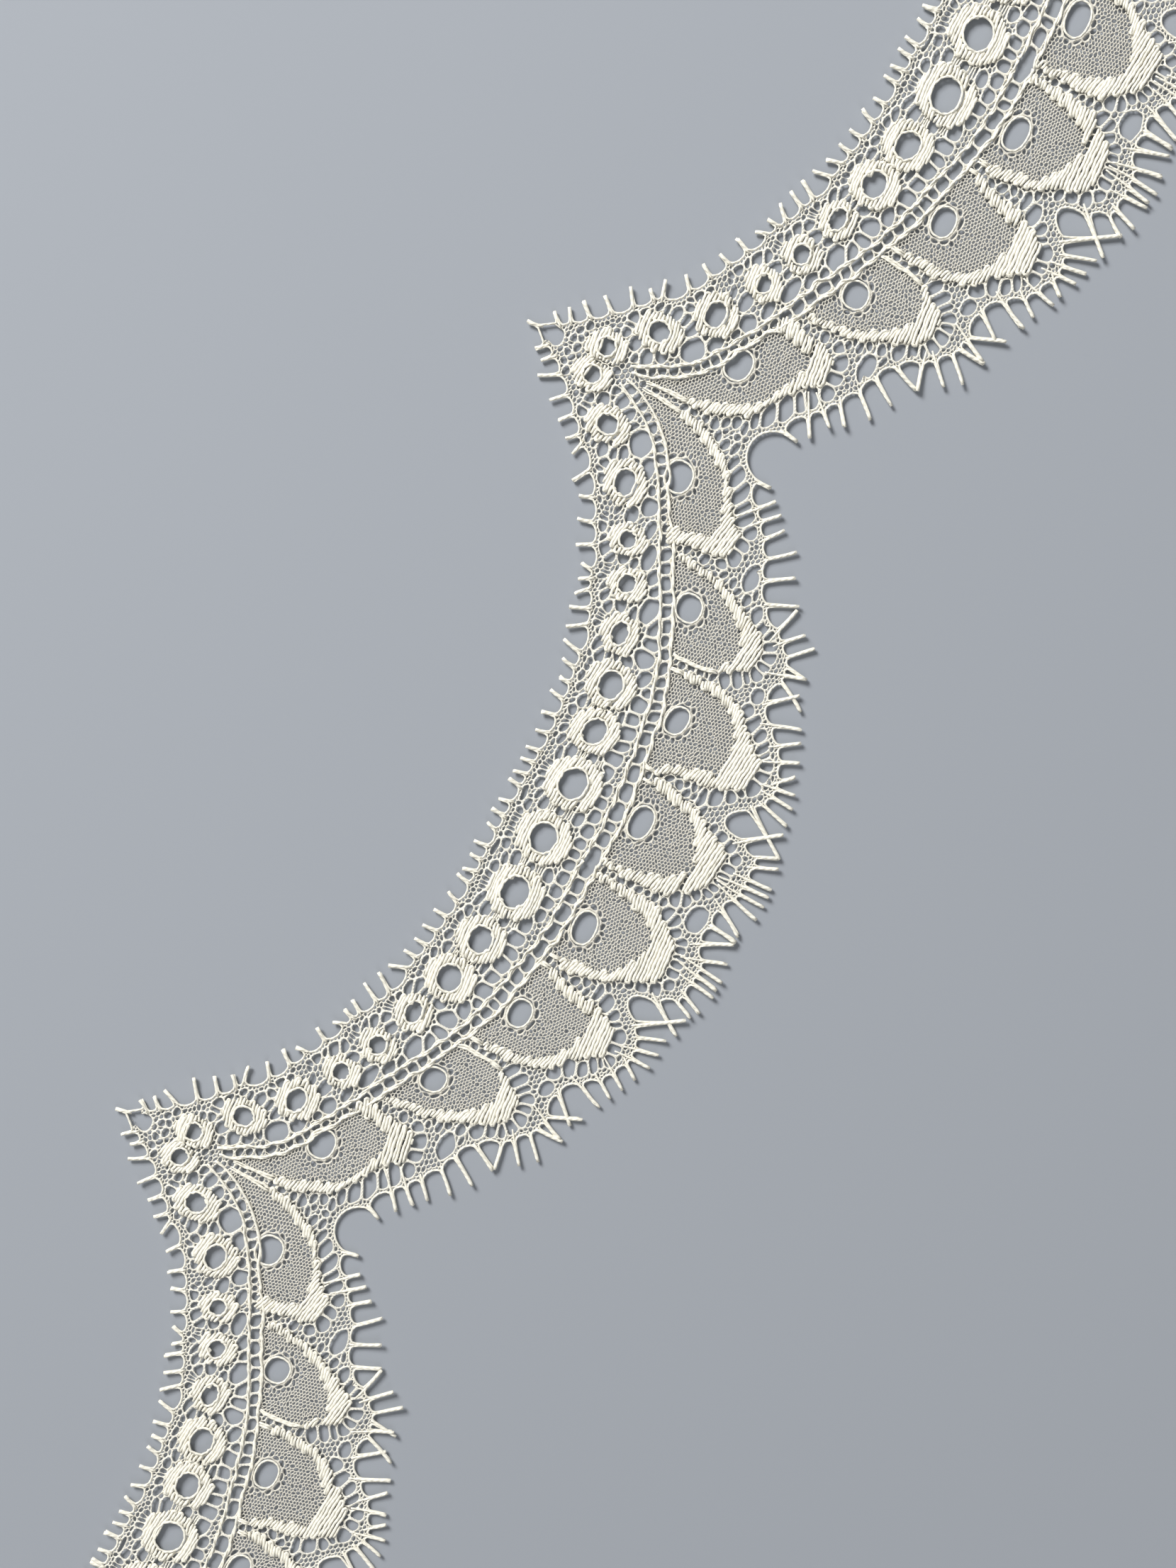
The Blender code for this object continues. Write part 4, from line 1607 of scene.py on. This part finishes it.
    def fringe(self, name: str, ends: list[End], arches: list[np.ndarray]) -> bpy.types.Object:
        """One fringe: the edge thread's arches, and clipped thread ends between them.

        Args:
            name: Name of the piece.
            ends: The ends, from left to right.
            arches: The edge thread between neighbouring ends.

        Returns:
            The object.
        """
        skein = Skein(self.drift)
        rng = self.rng
        for end, after, arch in zip(ends, ends[1:], arches):
            flanks = []
            for this, other in ((end, after), (after, end)):
                up = this.tip - this.root
                side = np.array([-up[1], up[0]]) / np.linalg.norm(up)
                side *= math.copysign(0.11, side @ (other.root - this.root))
                far = this.tip + side * 0.6 - up * rng.uniform(0, 0.12)
                flanks.append([far, this.root + up * 0.45 + side])
            line = evened(rounded(np.vstack([flanks[0], arch[1:-1], flanks[1][::-1]])), 0.42)
            lift = NET_LIFT + 0.06 + rng.normal(0, 0.02)
            skein.lay(line, lift, 0.27, 0.95)
        for end in ends:
            up = end.tip - end.root
            size = float(np.linalg.norm(up))
            t = np.linspace(-end.run / size, 1, max(4, round((size + end.run) / 0.45)))
            bend, curl = rng.normal(0, 0.09), rng.normal(0, 0.12)
            side = np.array([-up[1], up[0]]) / size
            stray = bend * np.clip(t, 0, 1) ** 2 + curl * np.clip(-t * size / 3, 0, 1) ** 2
            line = end.root + up * t[:, None] + side * stray[:, None]
            lift = NET_LIFT + 0.08 + rng.uniform(-0.05, 0.22) * np.clip(t, 0, 1) ** 2
            places = [-end.run / size, -0.05, 0.3, 0.92, 1]
            width = rng.uniform(0.4, 0.5) * np.interp(t, places, [0.45, 0.72, 0.95, 1.05, 0.95])
            skein.lay(line, lift, width, 0.85)
        return skein.mesh(name)


def rounded(line: np.ndarray) -> np.ndarray:
    """A line with its corners eased.

    Args:
        line: (n, 2) points.

    Returns:
        (m, 2) points with the same ends.
    """
    for _ in range(2):
        cut = np.empty((2 * len(line) - 2, 2))
        cut[0::2] = line[:-1] * 0.75 + line[1:] * 0.25
        cut[1::2] = line[:-1] * 0.25 + line[1:] * 0.75
        line = np.vstack([line[:1], cut, line[-1:]])
    return line


def ring_outline(ring: tuple, spare: float, count: int) -> np.ndarray:
    """The outer line of a ring.

    Args:
        ring: x, y, and the length and height of its hole.
        spare: Added all round, in mm.
        count: Number of points.

    Returns:
        (count, 2) points.
    """
    x, y, length, height = ring
    share = np.interp(height, [1.9, 3.2], [0.95, 1.22])  # a larger hole has a wider ring
    length, height = length + RING_BAND[0] * share + 2 * spare, height + RING_BAND[1] * share + 2 * spare
    return oval(x, y - 0.08, length, height, 0, count, 2.25)


class Value:
    """A number inside a material, with the usual arithmetic."""

    def __init__(self, graph: "Graph", socket: bpy.types.NodeSocket) -> None:
        """Wraps a socket.

        Args:
            graph: The material it belongs to.
            socket: The output that holds the number.
        """
        self.graph = graph
        self.socket = socket

    def _with(self, operation: str, *numbers: "Value | float") -> "Value":
        """One step of arithmetic, by Blender's name for it."""
        node = self.graph.node("ShaderNodeMath", {"operation": operation}, dict(enumerate(numbers)))
        return Value(self.graph, node.outputs[0])

    def __add__(self, other: "Value | float") -> "Value":
        """The sum of two numbers."""
        return self._with("ADD", self, other)

    def __mul__(self, other: "Value | float") -> "Value":
        """The product of two numbers."""
        return self._with("MULTIPLY", self, other)

    def sine(self) -> "Value":
        """The sine of this number, which is in radians."""
        return self._with("SINE", self)


class Graph:
    """The nodes of one material."""

    def __init__(self, name: str) -> None:
        """A new material.

        Args:
            name: Its name.
        """
        self.material = bpy.data.materials.new(name)
        self.material.use_nodes = True
        self.shader = self.material.node_tree.nodes["Principled BSDF"]

    def node(self, kind: str, settings: dict, inputs: dict) -> bpy.types.ShaderNode:
        """Adds a node.

        Args:
            kind: Blender's name for the node's type.
            settings: Its settings by name.
            inputs: What goes into its sockets, by name or number.

        Returns:
            The node.
        """
        made = self.material.node_tree.nodes.new(kind)
        for name, setting in settings.items():
            setattr(made, name, setting)
        self.feed(made, inputs)
        return made

    def feed(self, node: bpy.types.ShaderNode, inputs: dict) -> None:
        """Fills a node's sockets.

        Args:
            node: The node.
            inputs: What goes into its sockets, by name or number.
        """
        for name, given in inputs.items():
            given = given.socket if isinstance(given, Value) else given
            if isinstance(given, bpy.types.NodeSocket):
                self.material.node_tree.links.new(given, node.inputs[name])
            else:
                node.inputs[name].default_value = given

    def noise(self, place: bpy.types.NodeSocket, scale: float, detail: float) -> Value:
        """Cloudy noise from 0 to 1. The scale is in clouds to the metre, the detail in finer layers."""
        node = self.node("ShaderNodeTexNoise", {}, {"Vector": place, "Scale": scale, "Detail": detail})
        return Value(self, node.outputs["Fac"])


@dataclass(frozen=True)
class Cotton:
    """Cotton thread with a soft, dry surface.

    Args:
        name: Name of the material.
        pale: Colour of its palest stretches; the twist's ridges lean towards it, a painted highlight.
        deep: Colour of its creamiest stretches; the twist's grooves lean towards it, a painted shade.
        twist: Height of the twist's ridges, in mm.
        turn: Length of one turn of the twist, in mm.
    """

    name: str
    pale: tuple[float, float, float]
    deep: tuple[float, float, float]
    twist: float
    turn: float = 0.8

    def build(self) -> bpy.types.Material:
        """Makes the material.

        Returns:
            The material.
        """
        graph = Graph(self.name)
        place = graph.node("ShaderNodeTexCoord", {}, {}).outputs["Object"]
        fuzz = graph.noise(place, 5200.0, 2.0)
        along = graph.node("ShaderNodeUVMap", {"uv_map": "thread"}, {}).outputs["UV"]
        split = graph.node("ShaderNodeSeparateXYZ", {}, {"Vector": along})
        run, around = Value(graph, split.outputs["X"]), Value(graph, split.outputs["Y"])
        ply = (run * (2 * math.pi / self.turn) + around * (4 * math.pi)).sine()
        height = fuzz * 0.02 + ply * self.twist
        # Random tone from the two noises, plus painted shade and highlight along the twist: its grooves are
        # coloured deeper and its ridges paler.
        tone_and_twist_shade = graph.noise(place, 130.0, 3.0) * 0.55 + fuzz * 0.45 + ply * 0.12
        colours = {"Factor": tone_and_twist_shade, "A": (*self.deep, 1), "B": (*self.pale, 1)}
        mixed = graph.node("ShaderNodeMix", {"data_type": "RGBA"}, colours)
        bump = graph.node("ShaderNodeBump", {}, {"Strength": 1.0, "Distance": MM, "Height": height})
        graph.feed(graph.shader, {
            "Base Color": mixed.outputs["Result"], "Normal": bump.outputs["Normal"], "Roughness": 0.88,
            "Specular IOR Level": 0.25, "Sheen Weight": 0.2, "Sheen Roughness": 0.6,
        })
        return graph.material


@dataclass(frozen=True)
class TableTop:
    """A plain dull table top.

    Args:
        colour: Its colour.
        roughness: From 0 for a mirror to 1 for chalk.
        size: Its width, in metres.
    """

    colour: tuple[float, float, float] = (0.33, 0.35, 0.38)
    roughness: float = 0.9
    size: float = 6.0

    def build(self) -> bpy.types.Object:
        """Makes the table top.

        Returns:
            The object.
        """
        bpy.ops.mesh.primitive_plane_add(size=self.size, location=(0, 0, 0))
        table = bpy.context.object
        table.name = "table"
        graph = Graph("table")
        graph.feed(graph.shader, {"Base Color": (*self.colour, 1), "Roughness": self.roughness})
        table.data.materials.append(graph.material)
        return table


@dataclass(frozen=True)
class Lamp:
    """A square lamp that shines at the middle of the edging.

    Args:
        name: Its name.
        place: Its place, in metres.
        size: Its width, in metres.
        power: Its power, in watts.
    """

    name: str
    place: tuple[float, float, float]
    size: float
    power: float

    def build(self) -> bpy.types.Object:
        """Makes the lamp.

        Returns:
            The object.
        """
        lamp = bpy.data.lights.new(self.name, "AREA")
        lamp.size = self.size
        lamp.energy = self.power
        holder = bpy.data.objects.new(self.name, lamp)
        bpy.context.scene.collection.objects.link(holder)
        holder.location = self.place
        holder.rotation_mode = "QUATERNION"
        holder.rotation_quaternion = (-Vector(self.place)).to_track_quat("-Z", "Y")
        return holder


LAMPS = (Lamp("key", (0.36, 0.78, 0.68), 0.4, 16.0), Lamp("fill", (-0.7, -0.6, 0.8), 0.9, 3.0))
ROOM_COLOUR = (0.93, 0.96, 1.0, 1)
ROOM_STRENGTH = 0.24


def build_lights() -> None:
    """Soft studio light: one large lamp high on the left, a weaker one opposite, and a pale room."""
    for lamp in LAMPS:
        lamp.build()
    world = bpy.data.worlds.new("room")
    world.use_nodes = True
    world.node_tree.nodes["Background"].inputs["Color"].default_value = ROOM_COLOUR
    world.node_tree.nodes["Background"].inputs["Strength"].default_value = ROOM_STRENGTH
    bpy.context.scene.world = world
    bpy.context.scene.view_settings.view_transform = "Standard"


@dataclass(frozen=True)
class Viewpoint:
    """Where the camera stands.

    Its place, directions and lens came out of a fit. The lens is one of six that fitted about as well.

    Args:
        place: Its place, in metres.
        right: The way that the picture's right side points.
        back: The way that the camera's back points.
        lens: Its focal length, in mm.
        sensor: Width of its sensor, in mm.
        reach: How near and how far it sees, in metres.
    """

    place: tuple[float, float, float] = (0.02122, 0.01884, 0.25058)
    right: tuple[float, float, float] = (0.4721, -0.8809, 0.0341)
    back: tuple[float, float, float] = (0.0871, 0.0851, 0.9926)
    lens: float = 48.82
    sensor: float = 36.0
    reach: tuple[float, float] = (0.01, 20.0)


def build_camera(view: Viewpoint) -> None:
    """The camera, nearly straight above, with the strip running up the picture and to its right.

    Args:
        view: Where it stands.
    """
    data = bpy.data.cameras.new("camera")
    data.sensor_fit = "AUTO"
    data.sensor_width = view.sensor
    data.lens = view.lens
    data.clip_start, data.clip_end = view.reach
    camera = bpy.data.objects.new("camera", data)
    bpy.context.scene.collection.objects.link(camera)
    back = Vector(view.back).normalized()
    up = back.cross(Vector(view.right)).normalized()
    turn = Matrix((up.cross(back), up, back)).transposed().to_4x4()
    camera.matrix_world = Matrix.Translation(view.place) @ turn
    bpy.context.scene.camera = camera


def main() -> None:
    """Builds the edging, the table, the light and the camera."""
    logging.basicConfig(level=logging.INFO, format="%(name)s: %(message)s")
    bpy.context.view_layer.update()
    lace = Lace()
    head_ends, foot_ends = lace.ends(HEAD_ENDS, 1), lace.ends(FOOT_ENDS, -1)
    head, foot = lace.arches(head_ends, 1), lace.arches(foot_ends, -1)
    lace.plan_net(head, foot)
    nets = lace.weave()
    work = Skein(lace.drift)
    lace.hatch_rings(work)
    lace.hatch_petals(work)
    lace.cords(work)
    pieces = {
        "ground": nets[Group.HEAD],
        "foot_net": nets[Group.FOOT],
        "left_petals": nets[Group.LEFT_PETALS],
        "right_petals": nets[Group.RIGHT_PETALS],
        "work": work.mesh("worked_threads"),
        "head": lace.fringe("head_threads", head_ends, head),
        "foot": lace.fringe("foot_threads", foot_ends, foot),
    }
    thread = Cotton("cotton_thread", (0.95, 0.92, 0.81), (0.85, 0.80, 0.66), 0.02).build()
    # Painted shade: the head and foot nets use the same cotton coloured a little darker, for their thin
    # threads looking greyer.
    ground = Cotton("cotton_ground_with_painted_shade", (0.92, 0.89, 0.79), (0.78, 0.74, 0.63), 0.014, 0.42).build()
    # Painted shade: the petals' fine net uses the same cotton coloured darker still, so that it reads greyer
    # than the rims.
    fine = Cotton("cotton_net_with_painted_shade", (0.79, 0.76, 0.67), (0.64, 0.60, 0.51), 0.012, 0.42).build()
    finishes = {"ground": ground, "foot_net": ground, "left_petals": fine, "right_petals": fine}
    for key, piece in pieces.items():
        piece.data.materials.append(finishes.get(key, thread))
        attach(piece, "root")
        piece.data.calc_loop_triangles()
        log.info("%s: %d triangles", piece.name, len(piece.data.loop_triangles))
    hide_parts("lace_band")
    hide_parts("head_fringe")
    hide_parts("foot_fringe")
    others = [piece for key, piece in pieces.items() if key != "work"]
    TableTop().build()
    build_lights()
    build_camera(Viewpoint())


if __name__ == "__main__":
    main()
